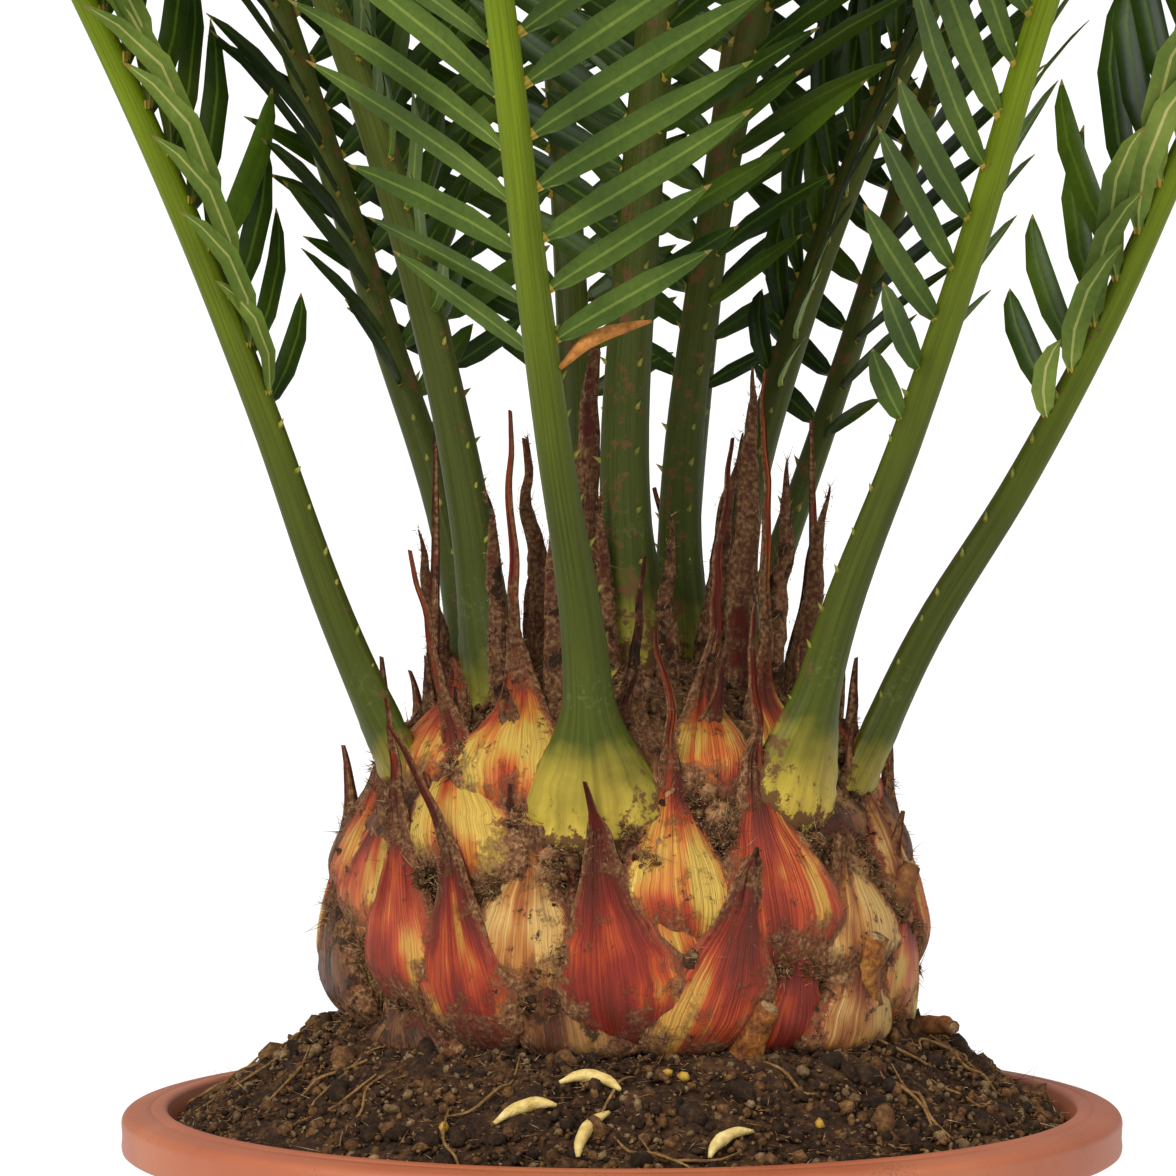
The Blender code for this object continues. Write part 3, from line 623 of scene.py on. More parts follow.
SCALE_ROWS = (
    (8, 25, 30, 8, 24, 1.8),
    (20, 24, 34, 16, 24, 1.2),
    (33, 25, 33, 24, 25, 0.4),
    (46, 23, 30, 30, 29, -0.4),
)
UNDER_ROWS = (
    (12, 24, 30, 6, 27, -1.6),
    (25, 24, 30, 10, 26, -1.8),
    (38, 24, 30, 12, 28, -2.0),
)
BACK_FINISHES = ("red", "straw", "crimson", "yellow", "orange", "bark", "red")
UNDER_FINISHES = ("bark", "bark", "straw", "orange")
ROW_SHIFT = 6
SCALE_SEED = 7


def scale_row(chance, line, azimuth, finish):
    height, width, body, spine, _, proud = line
    turn, up = azimuth + chance.uniform(-5.0, 5.0), height + chance.uniform(-3.0, 3.0)
    wide, long = width * chance.uniform(0.85, 1.1), spine * chance.uniform(0.4, 1.4)
    tilt, sway = chance.uniform(-14.0, 14.0), chance.uniform(-20.0, 20.0)
    return turn, up, wide, body, long, tilt, sway, proud + chance.uniform(-0.5, 0.9), finish


def all_scales():
    """The rows of the outer scales and of those under them."""
    chance = random.Random(SCALE_SEED)
    rows, under = list(FRONT_SCALES), []
    for number, line in enumerate(SCALE_ROWS):
        azimuth = FRONT_EDGE + ROW_SHIFT * (number % 2)
        while azimuth < 360 + ROW_SHIFT - FRONT_EDGE:
            rows.append(scale_row(chance, line, azimuth, BACK_FINISHES[len(rows) % len(BACK_FINISHES)]))
            azimuth += line[4]
    for line in UNDER_ROWS:
        for azimuth in range(0, 360, line[4]):
            under.append(scale_row(chance, line, azimuth, chance.choice(UNDER_FINISHES)))
    return rows, under


OUTER_SCALES, UNDER_SCALES = all_scales()
print(len(OUTER_SCALES), "outer scales and", len(UNDER_SCALES), "under them")

# %% [markdown]
# The fronds' routes come next, although the fronds are dressed later, because the scales' spines must
# keep out of their way. The rule is the CAD's own: a frond rises from its foot, leans out more and
# more along its stalk, and then arches over. The CAD walks it in 13 straight steps, and here a
# smooth curve runs through the same points. Shares are of a frond's length, from its foot.

# %% Fronds: their routes
FROND_FIELDS = (
    "side behind height heading lean_foot lean_knee lean_stalk arch swing length"
    " radius swell bare first lift pale flare"
).split()
FROND_ROWS = (
    (-38.6, -14.0, 46.0, 191, 25, 19.5, 24, 47, 11, 440, 3.20, 0.30, 0.155, 0.14, 40, 1, 0.60),
    (-25.6, 17.0, 55.0, 149, 8, 21, 21, 50, -3, 450, 3.05, 0.40, 0.125, 0.24, 22, 4, 0.60),
    (-22.4, -11.0, 57.0, 176, 5, 12, 21, 46, 45, 470, 3.65, 0.60, 0.145, 0.20, 24, 3, 0.50),
    (-4.9, -41.0, 37.0, 246, 2, 20, 15, 48, 7, 460, 3.30, 0.95, 0.19, 0.30, 22, 11, 1.30),
    (2.7, -9.0, 62.0, 58, -12, 6, 14, 44, 3, 510, 4.05, 0.35, 0.135, 0.24, 20, 12, 0.50),
    (10.8, 8.5, 61.0, 52, -5, 10.5, 24, 50, -10, 470, 3.30, 0.50, 0.14, 0.26, 20, 6, 0.50),
    (19.8, 21.0, 55.0, 32, -2, 18, 30, 46, 3, 440, 3.00, 0.60, 0.13, 0.16, 40, 6, 0.80),
    (17.1, 34.0, 46.0, 40, 24, 25, 22, 44, -4, 430, 2.60, 0.40, 0.14, 0.16, 24, 6, 0.60),
    (28.6, -30.5, 40.0, 332, 13, 22.5, 17.5, 49, -21, 470, 3.20, 0.80, 0.155, 0.10, 24, 12, 1.00),
    (39.6, -6.0, 39.0, 355, 21, 31.5, 23.5, 39, -17, 430, 3.15, 0.25, 0.18, 0.10, 38, 8, 1.30),
    (-22.0, 31.0, 50.0, 127, 12, 18, 24, 48, 4, 440, 3.40, 0.50, 0.15, 0.16, 24, 8, 0.80),
    (-6.0, 38.5, 46.0, 97, 12, 19, 26, 46, 4, 430, 3.40, 0.50, 0.15, 0.16, 22, 8, 0.80),
    (8.0, 39.0, 46.0, 72, 12, 18, 24, 46, -4, 440, 3.40, 0.50, 0.15, 0.16, 22, 8, 0.80),
)
RACHIS_STEPS = 13
RIB_RINGS = 92
ROUTE_STEP = 0.004
KNEE_END = 0.10
STALK_BEND = 0.20
ARCH_START = 0.25
ARCH_POWER = 1.4
SWELL_END = 0.13
SWELL_POWER = 1.8
RIB_THINNING = 0.72
RIB_THIN_START = 0.10
RIB_THIN_POWER = 0.9


def smooth(share):
    share = np.clip(share, 0.0, 1.0)
    return share * share * (3.0 - 2.0 * share)


def past(share, start):
    """How far a share is on the way from a start to the end."""
    return np.clip((share - start) / (1.0 - start), 0.0, 1.0)


def through(line, share, step):
    """Places and ways along a smooth curve through evenly spaced points."""
    keys = np.linspace(0.0, 1.0, len(line))
    columns = [np.stack((keys, column), 1) for column in np.transpose(line)]
    shares = (share, share - step, share + step)
    place, before, after = (np.stack([flowing(column, at) for column in columns], -1) for at in shares)
    return place, unit(after - before)


def frond_route(frond):
    """The CAD's points along a frond, from its foot to its tip."""
    share = (np.arange(RACHIS_STEPS) + 0.5) / RACHIS_STEPS
    lean = frond["lean_foot"] + (frond["lean_knee"] - frond["lean_foot"]) * smooth(share / KNEE_END)
    lean += (frond["lean_stalk"] - frond["lean_knee"]) * smooth((share - KNEE_END) / STALK_BEND)
    lean = np.radians(lean + frond["arch"] * past(share, ARCH_START) ** ARCH_POWER)
    heading = np.radians(frond["heading"] + frond["swing"] * share * share)
    ways = np.stack((np.sin(lean) * np.cos(heading), np.sin(lean) * np.sin(heading), np.cos(lean)), 1)
    foot = np.array((frond["side"] * MM, frond["behind"] * MM, GROUND + frond["height"] * MM))
    steps = np.cumsum(ways * frond["length"] * MM / RACHIS_STEPS, axis=0)
    return np.vstack((foot, foot + steps))


def frond_radius(frond, share):
    """A swollen foot, a stalk that keeps its width, and a rib that thins to the tip."""
    foot = frond["swell"] * np.clip(1.0 - share / SWELL_END, 0.0, 1.0) ** SWELL_POWER
    thin = 1.0 - RIB_THINNING * past(share, RIB_THIN_START) ** RIB_THIN_POWER
    return frond["radius"] * MM * (thin + foot)


def read_route(frond, share):
    """Place, way, side and upper side at shares of a frond's length."""
    place, way = through(frond["route"], share, ROUTE_STEP)
    heading = np.radians(frond["heading"] + frond["swing"] * share * share)
    side = np.stack((np.sin(heading), -np.cos(heading), np.zeros_like(heading)), -1)
    return place, way, side, np.cross(side, way)


FRONDS = {}
for number, row in enumerate(FROND_ROWS, start=1):
    frond = dict(zip(FROND_FIELDS, row))
    frond["route"] = frond_route(frond)
    FRONDS[f"frond_{number:02d}"] = frond
ring_shares = np.linspace(0.0, 1.0, RIB_RINGS)
RIB_POINTS = np.concatenate([read_route(frond, ring_shares)[0] for frond in FRONDS.values()])
RIB_RADII = np.concatenate([frond_radius(frond, ring_shares) for frond in FRONDS.values()])
RIB_OWNER = np.repeat(np.arange(len(FRONDS)), RIB_RINGS)


def clear_of_ribs(points, spare):
    """Whether points keep a distance from the surfaces of all the ribs."""
    apart = np.linalg.norm(points[:, None] - RIB_POINTS[None], axis=-1)
    return (apart - RIB_RADII[None]).min() > spare


print(len(FRONDS), "fronds, the longest", max(frond["length"] for frond in FRONDS.values()), "mm")

# %% [markdown]
# Width, depth and the line of the middle of each scale are smooth curves over its height, counted in
# body lengths up to the neck and then in shares of the spine. The flanks are hollow, so a scale is
# shaped like a flame. Sharp ridges follow the fibres, and a little noise makes each scale's edge and
# spine uneven, as leather dries. Three quarters of the tube's sides go to the front, which the eye sees.

# %% Trunk: shaping the scales
FRONT_SHARE = 0.76
SCALE_FOOT = -0.42
SCALE_TOP = 0.58
SPINE_HALF = 1.25 * MM
NECK_BLEND = 5 * MM
EDGE_BUMPS = 4 * MM
CROOK_BUMPS = 11 * MM
CROOK_START = 14 * MM
CROOK = 1.1 * MM
RIDGE_HEIGHT = 1.5 * MM
LEAN_REACH = 6.0
MOST_LEAN = math.radians(34.0)
SCALE_SINK = 1.0 * MM
SCALE_WIDTHS = (
    (-0.42, 0.12),
    (-0.37, 0.46),
    (-0.28, 0.80),
    (-0.14, 1.00),
    (0.02, 0.92),
    (0.18, 0.68),
    (0.34, 0.42),
    (0.48, 0.27),
    (0.58, 0.19),
)
SCALE_MIDDLES = ((-0.42, -1.8), (-0.22, 0.7), (0.06, 1.2), (0.34, 0.4), (0.58, -0.2))
SCALE_DEPTHS = ((-0.42, 0.7), (-0.36, 2.4), (-0.20, 4.4), (0.04, 4.2), (0.28, 2.9), (0.58, 1.5))


def tube(sides, rings):
    """A closed tube from (0, 0, 0) to (0, 0, 1), as arrays, with each point's turn round it."""
    shape = bmesh.new()
    rise = Matrix.Translation((0.0, 0.0, 0.5))
    size = dict(segments=sides, radius1=1.0, radius2=1.0, depth=1.0)
    bmesh.ops.create_cone(shape, cap_ends=True, matrix=rise, **size)
    long = [e for e in shape.edges if abs(e.verts[0].co.z - e.verts[1].co.z) > 0.5]
    bmesh.ops.subdivide_edges(shape, edges=long, cuts=rings - 2, use_grid_fill=True)
    points, faces, _ = arrays(shape)
    turn = np.arctan2(points[:, 1], points[:, 0]) % math.tau / math.tau
    return points, faces, turn


def rough_at(*columns, size=1.0, seed=0.0, octaves=2):
    """Soft noise at points given as columns, some of which may be single numbers."""
    return rough(np.stack(np.broadcast_arrays(*columns), -1), size, seed, octaves)


def core_lean(height):
    """How far the core leans inwards round a height (mm), in radians."""
    low, high = core_radius((height - LEAN_REACH) * MM), core_radius((height + LEAN_REACH) * MM)
    return min(math.atan2(low - high, 2.0 * LEAN_REACH * MM), MOST_LEAN)


def one_scale(row, seed, shape):
    """Points and marks of one scale on the trunk, and its points before it is turned to its place."""
    azimuth, height, width, body, spine, tilt, sway, proud, finish = row
    points, _, turn = shape
    length, tall = body * MM, spine * MM
    top = SCALE_TOP * length
    # Where each point is: round the scale, across it, up it, and as shares of its body and spine.
    front = turn < FRONT_SHARE
    behind = math.pi * (1.0 + (turn - FRONT_SHARE) / (1.0 - FRONT_SHARE))
    angle = np.where(front, math.pi * turn / FRONT_SHARE, behind)
    across = -np.cos(angle)
    rise = SCALE_FOOT * length + points[:, 2] * (length + tall)
    over = np.maximum(rise - top, 0.0)
    body_at = np.minimum(rise / length, SCALE_TOP)
    spine_at = over / max(tall, 1e-6) * (tall > 0.0)
    # Sideways: the outline, one flank fuller than the other, with an uneven edge and a crooked spine.
    half = flowing(SCALE_WIDTHS, body_at) * width * MM / 2.0
    half = half + (SPINE_HALF * (1.0 - 0.7 * spine_at) - half) * smooth(over / NECK_BLEND)
    edge = rough_at(np.sign(across), rise / EDGE_BUMPS, seed, seed=4.0)
    crook = rough_at(0.0, rise / CROOK_BUMPS, seed * 3.3, seed=8.0)
    lopsided = 1.0 + 0.22 * math.sin(seed * 2.4) * np.sign(across)
    half = half * lopsided * (1.0 + (0.20 if finish == "bark" else 0.09) * edge)
    slope, spine_slope = math.tan(math.radians(tilt)), math.tan(math.radians(sway))
    x = across * half + slope * rise + (spine_slope - slope) * over**2 / (over + 4 * MM)
    x += crook * CROOK * smooth((rise - 0.5 * top) / CROOK_START)
    # In depth: a plump front, a thin back, ridges along the fibres, and the trunk's own lean.
    deep = flowing(SCALE_DEPTHS, body_at) * MM * (1.0 - 0.72 * spine_at)
    middle = flowing(SCALE_MIDDLES, body_at) * MM + (proud + 1.3 * spine_at**2) * MM
    grain = rough_at(across * 6.0 + seed * 9.1, body_at * 1.1 + spine_at, seed)
    ridge = np.where(front, 0.35 - np.abs(grain), 0.0) * np.clip(1.25 - across**2, 0.0, 1.0)
    crease = (0.35 + 0.65 * smooth(body_at / 0.4)) * np.clip(1.0 - 0.7 * spine_at, 0.0, 1.0)
    plump = np.where(front, np.abs(np.sin(angle)) ** 0.8, -0.6 * np.abs(np.sin(angle)))
    depth = middle + deep * plump + ridge * RIDGE_HEIGHT * crease
    lean = core_lean(height)
    upright = smooth((rise - 0.2 * length) / (0.5 * length)) * (rise - 0.3 * length)
    depth = depth + math.tan(lean) * 0.9 * upright
    local = np.stack((x, -depth, rise), axis=1)
    turned = Matrix.Rotation(math.radians(azimuth), 3, "Z") @ Matrix.Rotation(-lean, 3, "X")
    place = on_trunk(azimuth, height * MM, -SCALE_SINK)
    marks = np.stack((across, body_at + spine_at, np.full_like(rise, seed)), axis=1)
    return local @ np.array(turned).T + place, marks, local


SCALE_TUBE = tube(30, 44)
UNDER_TUBE = tube(20, 26)
SPINE_CUTS = (1.0, 0.75, 0.5, 0.3, 0.15, 0.0)
RIB_CLEARANCE = 0.3 * MM


def fitted_scale(row, seed, shape):
    """One scale whose spine is as long as the stalks near it leave room for."""
    for cut in SPINE_CUTS:
        tried = (*row[:4], row[4] * cut, *row[5:])
        points, marks, local = one_scale(tried, seed, shape)
        spine = points[local[:, 2] > SCALE_TOP * row[3] * MM]
        if len(spine) == 0 or clear_of_ribs(spine, RIB_CLEARANCE):
            break
    return points, marks


print("an outer scale has", len(SCALE_TUBE[1]), "triangles and an under scale", len(UNDER_TUBE[1]))

# %% [markdown]
# Fresh scales are waxy and straw yellow, with orange and blood red running down the fibres from the
# neck. Older ones dry to buff and brown. The colour is one sum that runs from yellow to red. Stripes
# are noise that is stretched along the fibres by the marks, and patches, the belly, the neck and the
# middle add their shares. Sums like this come back in other finishes, so one function builds them.

# %% Trunk: the colours of the scales
DEEPEST_RED = "#66291c"


def weighted_sum(tree, total, *parts):
    """Adds values to a total, each times its share."""
    for value, share in parts:
        total = add(tree, "Math", {0: value, 1: share, 2: total}, operation="MULTIPLY_ADD")
    return total


def scale_colour(tree, mark, up, side, redness, pale, warm, deep):
    """The skin's colour, and the stripes and fine lines in it."""

    def fibres(*size, detail):
        stretched = add(tree, "Mapping", {"Vector": mark, "Scale": size})
        return add(tree, "TexNoise", {"Vector": stretched, "Scale": 1.0, "Detail": detail})

    stripes, fine = fibres(9.0, 0.8, 31.0, detail=5.0), fibres(26.0, 1.3, 17.0, detail=3.0)
    patch = fibres(1.1, 1.6, 57.0, detail=2.0)
    belly = add(tree, "MapRange", {"Value": up, "From Min": -0.15, "From Max": -0.42})
    neck = add(tree, "MapRange", {"Value": up, "From Min": 0.08, "From Max": 0.50})
    middle = add(tree, "MapRange", {"Value": side, "From Min": 0.55, "From Max": 0.0})
    reds = ((stripes, 1.0), (patch, 2.3), (belly, 0.25), (neck, 0.55), (middle, 0.16))
    tones = [(0.14, pale), (0.36, warm), (0.60, deep), (1.0, DEEPEST_RED)]
    skin = add(tree, "ValToRGB", {"Fac": weighted_sum(tree, redness - 1.66, *reds)}, stops=tones)
    darkened = {"Value": fine, "From Min": 0.35, "From Max": 0.65, "To Min": 0.76, "To Max": 1.10}
    lined = add(tree, "MapRange", darkened)
    skin = add(tree, "Mix", {"Factor": 1.0, "A": skin, "B": lined}, data_type="RGBA", blend_type="MULTIPLY")
    return skin, stripes, fine


print("the scales' reds deepen to", DEEPEST_RED)

# %% [markdown]
# A scale is never clean. Its margin is rust red and frayed. Brown wool grows over the margin, the neck
# and the foot, and lies in clumps between them, and soil clings on in patches. Wax shines a little and
# lets some light in, while wool is dead matt, so the wool also decides how rough the surface is. Six
# sets of colours are dealt out by scale.

# %% Trunk: wool and soil on the scales
RUST = "#94492f"
LODGED_SOIL = "#3a2514"


def overgrown(tree, place, up, edge, skin, wool_from, soil):
    """A skin with its margin, wool and soil, and also where the wool is and its hairs."""
    frizz = {"Vector": place, "Scale": 1.0 / (2.6 * MM), "Detail": 6.0, "Roughness": 0.75}
    fluff = add(tree, "TexNoise", frizz)
    frayed = weighted_sum(tree, fluff, (edge, 0.60))
    margin = add(tree, "MapRange", {"Value": frayed, "From Min": 0.66, "From Max": 0.84})
    skin = add(tree, "Mix", {"Factor": margin, "A": skin, "B": RUST}, data_type="RGBA")
    upper = add(tree, "MapRange", {"Value": up, "From Min": wool_from, "From Max": wool_from + 0.3})
    bare = {"Value": up, "From Min": 0.66, "From Max": 0.95, "To Min": 1.0, "To Max": 0.30}
    spine = add(tree, "MapRange", bare)
    upper = add(tree, "Math", {0: upper, 1: spine}, operation="MULTIPLY")
    foot = add(tree, "MapRange", {"Value": up, "From Min": -0.04, "From Max": -0.30})
    clump = add(tree, "TexNoise", {"Vector": place, "Scale": 1.0 / (8.0 * MM), "Detail": 3.0})
    wools = ((edge, 0.36), (upper, 0.34), (foot, 0.5 * soil), (clump, 0.8))
    woolly = weighted_sum(tree, fluff, *wools)
    woolly = add(tree, "MapRange", {"Value": woolly, "From Min": 1.04, "From Max": 1.24})
    hairs = add(tree, "TexNoise", {"Vector": place, "Scale": 1.0 / (0.8 * MM), "Detail": 5.0})
    browns = [(0.32, "#54361f"), (0.5, "#7c5336"), (0.68, "#a37e56")]
    wool = add(tree, "ValToRGB", {"Fac": hairs}, stops=browns)
    mixed = add(tree, "Mix", {"Factor": woolly, "A": skin, "B": wool}, data_type="RGBA")
    smears = {"Vector": place, "Scale": 1.0 / (4.5 * MM), "Detail": 8.0, "Roughness": 0.74}
    dirt = add(tree, "TexNoise", smears)
    soiled = {"From Min": 0.69 - 0.16 * soil, "From Max": 0.75 - 0.16 * soil}
    dirt = add(tree, "MapRange", {"Value": dirt, **soiled})
    mixed = add(tree, "Mix", {"Factor": dirt, "A": mixed, "B": LODGED_SOIL}, data_type="RGBA")
    return mixed, woolly, hairs


def scale_skin(name, pale, warm, deep, redness, wool_from, soil):
    made, tree = new_material(name)
    place = add(tree, "TexCoord").outputs["Object"]
    mark = add(tree, "Attribute", attribute_name="fibre").outputs["Vector"]
    split = add(tree, "SeparateXYZ", {"Vector": mark})
    up = split.outputs["Y"]
    side = add(tree, "Math", {0: split.outputs["X"]}, operation="ABSOLUTE")
    edge = add(tree, "Math", {0: side, 1: 4.0}, operation="POWER")
    skin, stripes, fine = scale_colour(tree, mark, up, side, redness, pale, warm, deep)
    mixed, woolly, hairs = overgrown(tree, place, up, edge, skin, wool_from, soil)
    dull = add(tree, "MapRange", {"Value": woolly, "To Min": 0.48, "To Max": 0.95})
    relief = weighted_sum(tree, stripes, (fine, 1.1), (hairs, woolly))
    bump = add(tree, "Bump", {"Height": relief, "Strength": 1.0, "Distance": 0.9 * MM})
    finish_material(
        tree,
        Base_Color=mixed,
        Roughness=dull,
        Normal=bump,
        Subsurface_Weight=0.08,
        Subsurface_Scale=1.5 * MM,
        Specular_IOR_Level=0.2,
    )
    return made


SKINS = {
    "yellow": scale_skin("waxy_straw_scale", "#c4a048", "#bf7a32", "#a84222", 0.16, 0.34, 0.62),
    "orange": scale_skin("waxy_orange_scale", "#c39a46", "#ba662c", "#a13c20", 0.28, 0.28, 0.68),
    "red": scale_skin("waxy_red_scale", "#c39042", "#b24c26", "#93331f", 0.37, 0.30, 0.5),
    "crimson": scale_skin("waxy_crimson_scale", "#c08e3c", "#ac451f", "#842a1d", 0.41, 0.30, 0.42),
    "straw": scale_skin("dry_buff_scale", "#c49c5c", "#b0743a", "#8f4e28", 0.20, 0.22, 0.8),
    "bark": scale_skin("dry_brown_scale", "#9a7040", "#76492a", "#52321f", 0.40, 0.04, 1.1),
}
print(len(SKINS), "finishes for the scales")

# %% [markdown]
# The outer scales are joined into one piece and the coarser ones under them into another. Each piece
# keeps one material for each finish, and each scale's faces carry the number of its own.

# %% Trunk: joining the scales
def joined(name, template, built, kinds, mark):
    """One mesh of many copies of a template. Each copy has its points, its marks and its material."""
    corners, faces, _ = template
    points = np.concatenate([points for points, _ in built])
    marks = np.concatenate([marks for _, marks in built])
    tints = np.repeat(kinds, len(faces))
    return mesh_of(name, points, repeated(faces, len(built), len(corners)), tints, {mark: marks})


def make_scales(name, rows, shape, seed):
    names = list(SKINS)
    built = [fitted_scale(row, seed + number, shape) for number, row in enumerate(rows)]
    mesh = joined(name, shape, built, [names.index(row[8]) for row in rows], "fibre")
    show(name, mesh, list(SKINS.values()), ["trunk"])
    return built


BUILT_SCALES = make_scales("trunk_scales", OUTER_SCALES, SCALE_TUBE, 0.0)
BUILT_SCALES += make_scales("under_scales", UNDER_SCALES, UNDER_TUBE, 70.0)

# %% [markdown]
# At the dome's centre stand cataphylls, the long pointed scales that guard the bud. They are bound in
# brown wool. Each is a tapered tube that leans a little, pressed flat and crooked by noise. It is given
# by its side, its place behind the axis, its reach and its sway, in millimetres and degrees.

# %% Trunk: cataphylls
CATAPHYLLS = (
    (-15, -7, 62, -3),
    (-8, 2, 68, 2),
    (-3, 8, 50, 3),
    (-19, 4, 40, -8),
    (13, -4, 44, 8),
    (19, 6, 50, 4),
    (8, -19, 30, 0),
    (-12, 18, 42, -6),
    (14, 24, 36, 6),
    (-28, -8, 30, -6),
    (25, -15, 40, 5),
    (30, 3, 34, 9),
    (-11, -24, 30, -3),
    (-30, 7, 26, -10),
    (-20, -20, 34, -5),
    (20, -10, 56, 3),
    (-2, -16, 46, -2),
)
CATAPHYLL_FOOT = 50.0
CATAPHYLL_RADII = ((0.0, 4.4), (0.16, 4.0), (0.55, 2.6), (0.8, 1.5), (1.0, 0.25))
CATAPHYLL_ROOT = 12.0
CATAPHYLL_SEED = 50.0
CATAPHYLL_CUTS = (1.0, 0.75, 0.5, 0.3)
CATAPHYLL_CLEARANCE = 0.2 * MM
CATAPHYLL_TUBE = tube(14, 40)


def one_cataphyll(row, seed):
    """Points and marks of one cataphyll."""
    side, behind, reach, sway = row
    points, _, turn = CATAPHYLL_TUBE
    share = points[:, 2]
    rise = share * (reach + CATAPHYLL_ROOT) * MM
    thick = flowing(CATAPHYLL_RADII, share) * MM * (0.38 + reach / 118.0)
    angle = turn * math.tau
    lumps = rough_at(np.cos(angle), np.sin(angle), share * 9.0 + seed * 5.0, size=0.6, seed=seed, octaves=3)
    thick = thick * (1.0 + 0.22 * lumps)
    crook = rough_at(0.0, rise / (16 * MM), seed, seed=3.0) * share * 2.0 * MM
    x = side * MM + math.tan(math.radians(sway)) * rise + thick * np.cos(angle) + crook
    y = behind * MM + thick * np.sin(angle) * 0.8 + crook * 0.5
    made = np.stack((x, y, GROUND + CATAPHYLL_FOOT * MM + rise), axis=1)
    marks = np.stack((np.cos(angle), 0.25 + share * 0.5, np.full_like(rise, seed)), axis=1)
    return made, marks


def make_cataphylls():
    built = []
    for number, (side, behind, reach, sway) in enumerate(CATAPHYLLS):
        for cut in CATAPHYLL_CUTS:
            points, marks = one_cataphyll((side, behind, reach * cut, sway), CATAPHYLL_SEED + number)
            if clear_of_ribs(points, CATAPHYLL_CLEARANCE):
                built.append((points, marks))
                break
    woolly = scale_skin("woolly_red_brown_cataphyll", "#b07a48", "#9a5632", "#783e26", 0.45, 0.05, 0.4)
    mesh = joined("cataphylls", CATAPHYLL_TUBE, built, np.arange(len(built)) % 2, "fibre")
    show("cataphylls", mesh, [SKINS["bark"], woolly], ["trunk"])
    return built


BUILT_CATAPHYLLS = make_cataphylls()

# %% [markdown]
# Soil and dead wool lodge in every gap between the scales. Crumbs are scattered all over the core, a
# little proud of it. Those that fall under a scale are hidden, and the rest fill the gaps, so no test
# of where the gaps are is needed.

# %% Trunk: crumbs in the gaps
GAP_CRUMBS = 6500
gap_heights = dice.uniform(0.0, 64.0, GAP_CRUMBS) * MM
gap_azimuths = dice.uniform(0.0, 360.0, GAP_CRUMBS)
gap_places = on_trunk(gap_azimuths, gap_heights, dice.uniform(0.2, 2.8, GAP_CRUMBS) * MM)
gap_sizes = mostly_small(GAP_CRUMBS, 0.42, 3.0, 3.2)
show_crumbs("lodged_crumbs", GAP_BALLS, gap_places, gap_sizes, (0.18, 0.57, 0.25))

# %% [markdown]
# The wool is short matted hair. Each hair is a three-sided sliver: two triangles would vanish edge on,
# and a cylinder would waste faces. Hairs root along the margins and spines of the scales, on the
# cataphylls, and on the core, and stand out at a slant. Real ones are much finer than a pixel, so these
# are drawn about an eighth of a millimetre thick.

# %% Trunk: wool
WOOL_FINISHES = [
    earth("tan_wool", "#63432a", "#8a6340", "#ad8455", 0.8),
    earth("dark_wool", "#2e1c10", "#523520", "#735032", 0.8),
    earth("pale_dead_fibre", "#8c7450", "#ad946a", "#c9b285", 0.8),
]
SCALE_HAIRS = 170
CATAPHYLL_HAIRS = 260
FELT_HAIRS = 16000
WOOL_WIDTH = 0.075 * MM
LEVEL = np.array((1.0, 1.0, 0.0))


def cone(sides, radius):
    """A cone from (0, 0, 0) to its point at (0, 0, 1), as arrays."""
    shape = bmesh.new()
    rise = Matrix.Translation((0.0, 0.0, 0.5))
    size = dict(segments=sides, radius1=radius, radius2=0.0, depth=1.0)
    bmesh.ops.create_cone(shape, cap_ends=True, matrix=rise, **size)
    return arrays(shape)


SLIVER = cone(3, 1.0)


def show_hairs(name, places, ways, lengths, width, mix):
    """Puts hairs in the scene: tan, dark and pale ones in the shares of a mix."""
    corners, faces, _ = SLIVER
    ways = unit(ways)
    side = unit(np.cross(ways, dice.normal(size=ways.shape)))
    other = np.cross(ways, side)
    wide = corners[None, :, 0, None] * side[:, None] + corners[None, :, 1, None] * other[:, None]
    long = corners[None, :, 2, None] * ways[:, None] * lengths[:, None, None]
    points = places[:, None] + wide * width + long
    tints = np.repeat(dice.choice(3, len(places), p=mix), len(faces))
    mesh = mesh_of(name, points, repeated(faces, len(places), len(corners)), tints)
    show(name, mesh, WOOL_FINISHES)


def make_wool():
    roots, ways = [], []
    for points, marks in BUILT_SCALES:
        across, up = np.abs(marks[:, 0]), marks[:, 1]
        edge = (across > 0.80) & (up > -0.15) & (up < 0.7)
        neck = (up > 0.40) & (up < 0.75)
        chosen = dice.choice(np.flatnonzero(edge | neck), SCALE_HAIRS)
        roots.append(points[chosen])
        out = unit(points[chosen] * LEVEL) * 0.8
        ways.append(out + dice.normal(0.0, 0.6, out.shape) + (0.0, 0.0, 0.35))
    for points, _ in BUILT_CATAPHYLLS:
        roots.append(points[dice.choice(len(points), CATAPHYLL_HAIRS)])
        ways.append(dice.normal(0.0, 0.6, roots[-1].shape) + (0.0, 0.0, 0.7))
    heights = dice.uniform(0.0, 66.0, FELT_HAIRS) * MM
    azimuths = dice.uniform(0.0, 360.0, FELT_HAIRS)
    roots.append(on_trunk(azimuths, heights, dice.uniform(0.5, 4.0, FELT_HAIRS) * MM))
    ways.append(unit(roots[-1] * LEVEL) * 0.4 + dice.normal(0.0, 0.8, roots[-1].shape))
    roots, ways = np.concatenate(roots), np.concatenate(ways)
    spread = roots + dice.normal(0.0, 0.25 * MM, roots.shape)
    lengths = mostly_small(len(roots), 0.7, 2.2, 6.0)
    show_hairs("wool", spread, ways, lengths, WOOL_WIDTH, (0.45, 0.40, 0.15))


make_wool()

# %% [markdown]
# In places the wool has matted with soil into brown tufts that bridge the scales and hide their
# edges. A tuft is a few lumps, with hairs and crumbs over them, in a soft disc that lies on the scales.
# One sits on each outer scale's foot. Of the others, the front ones stand where the photograph shows
# them. A tuft is given by its azimuth, its height over the soil and its size, in degrees and
# millimetres.

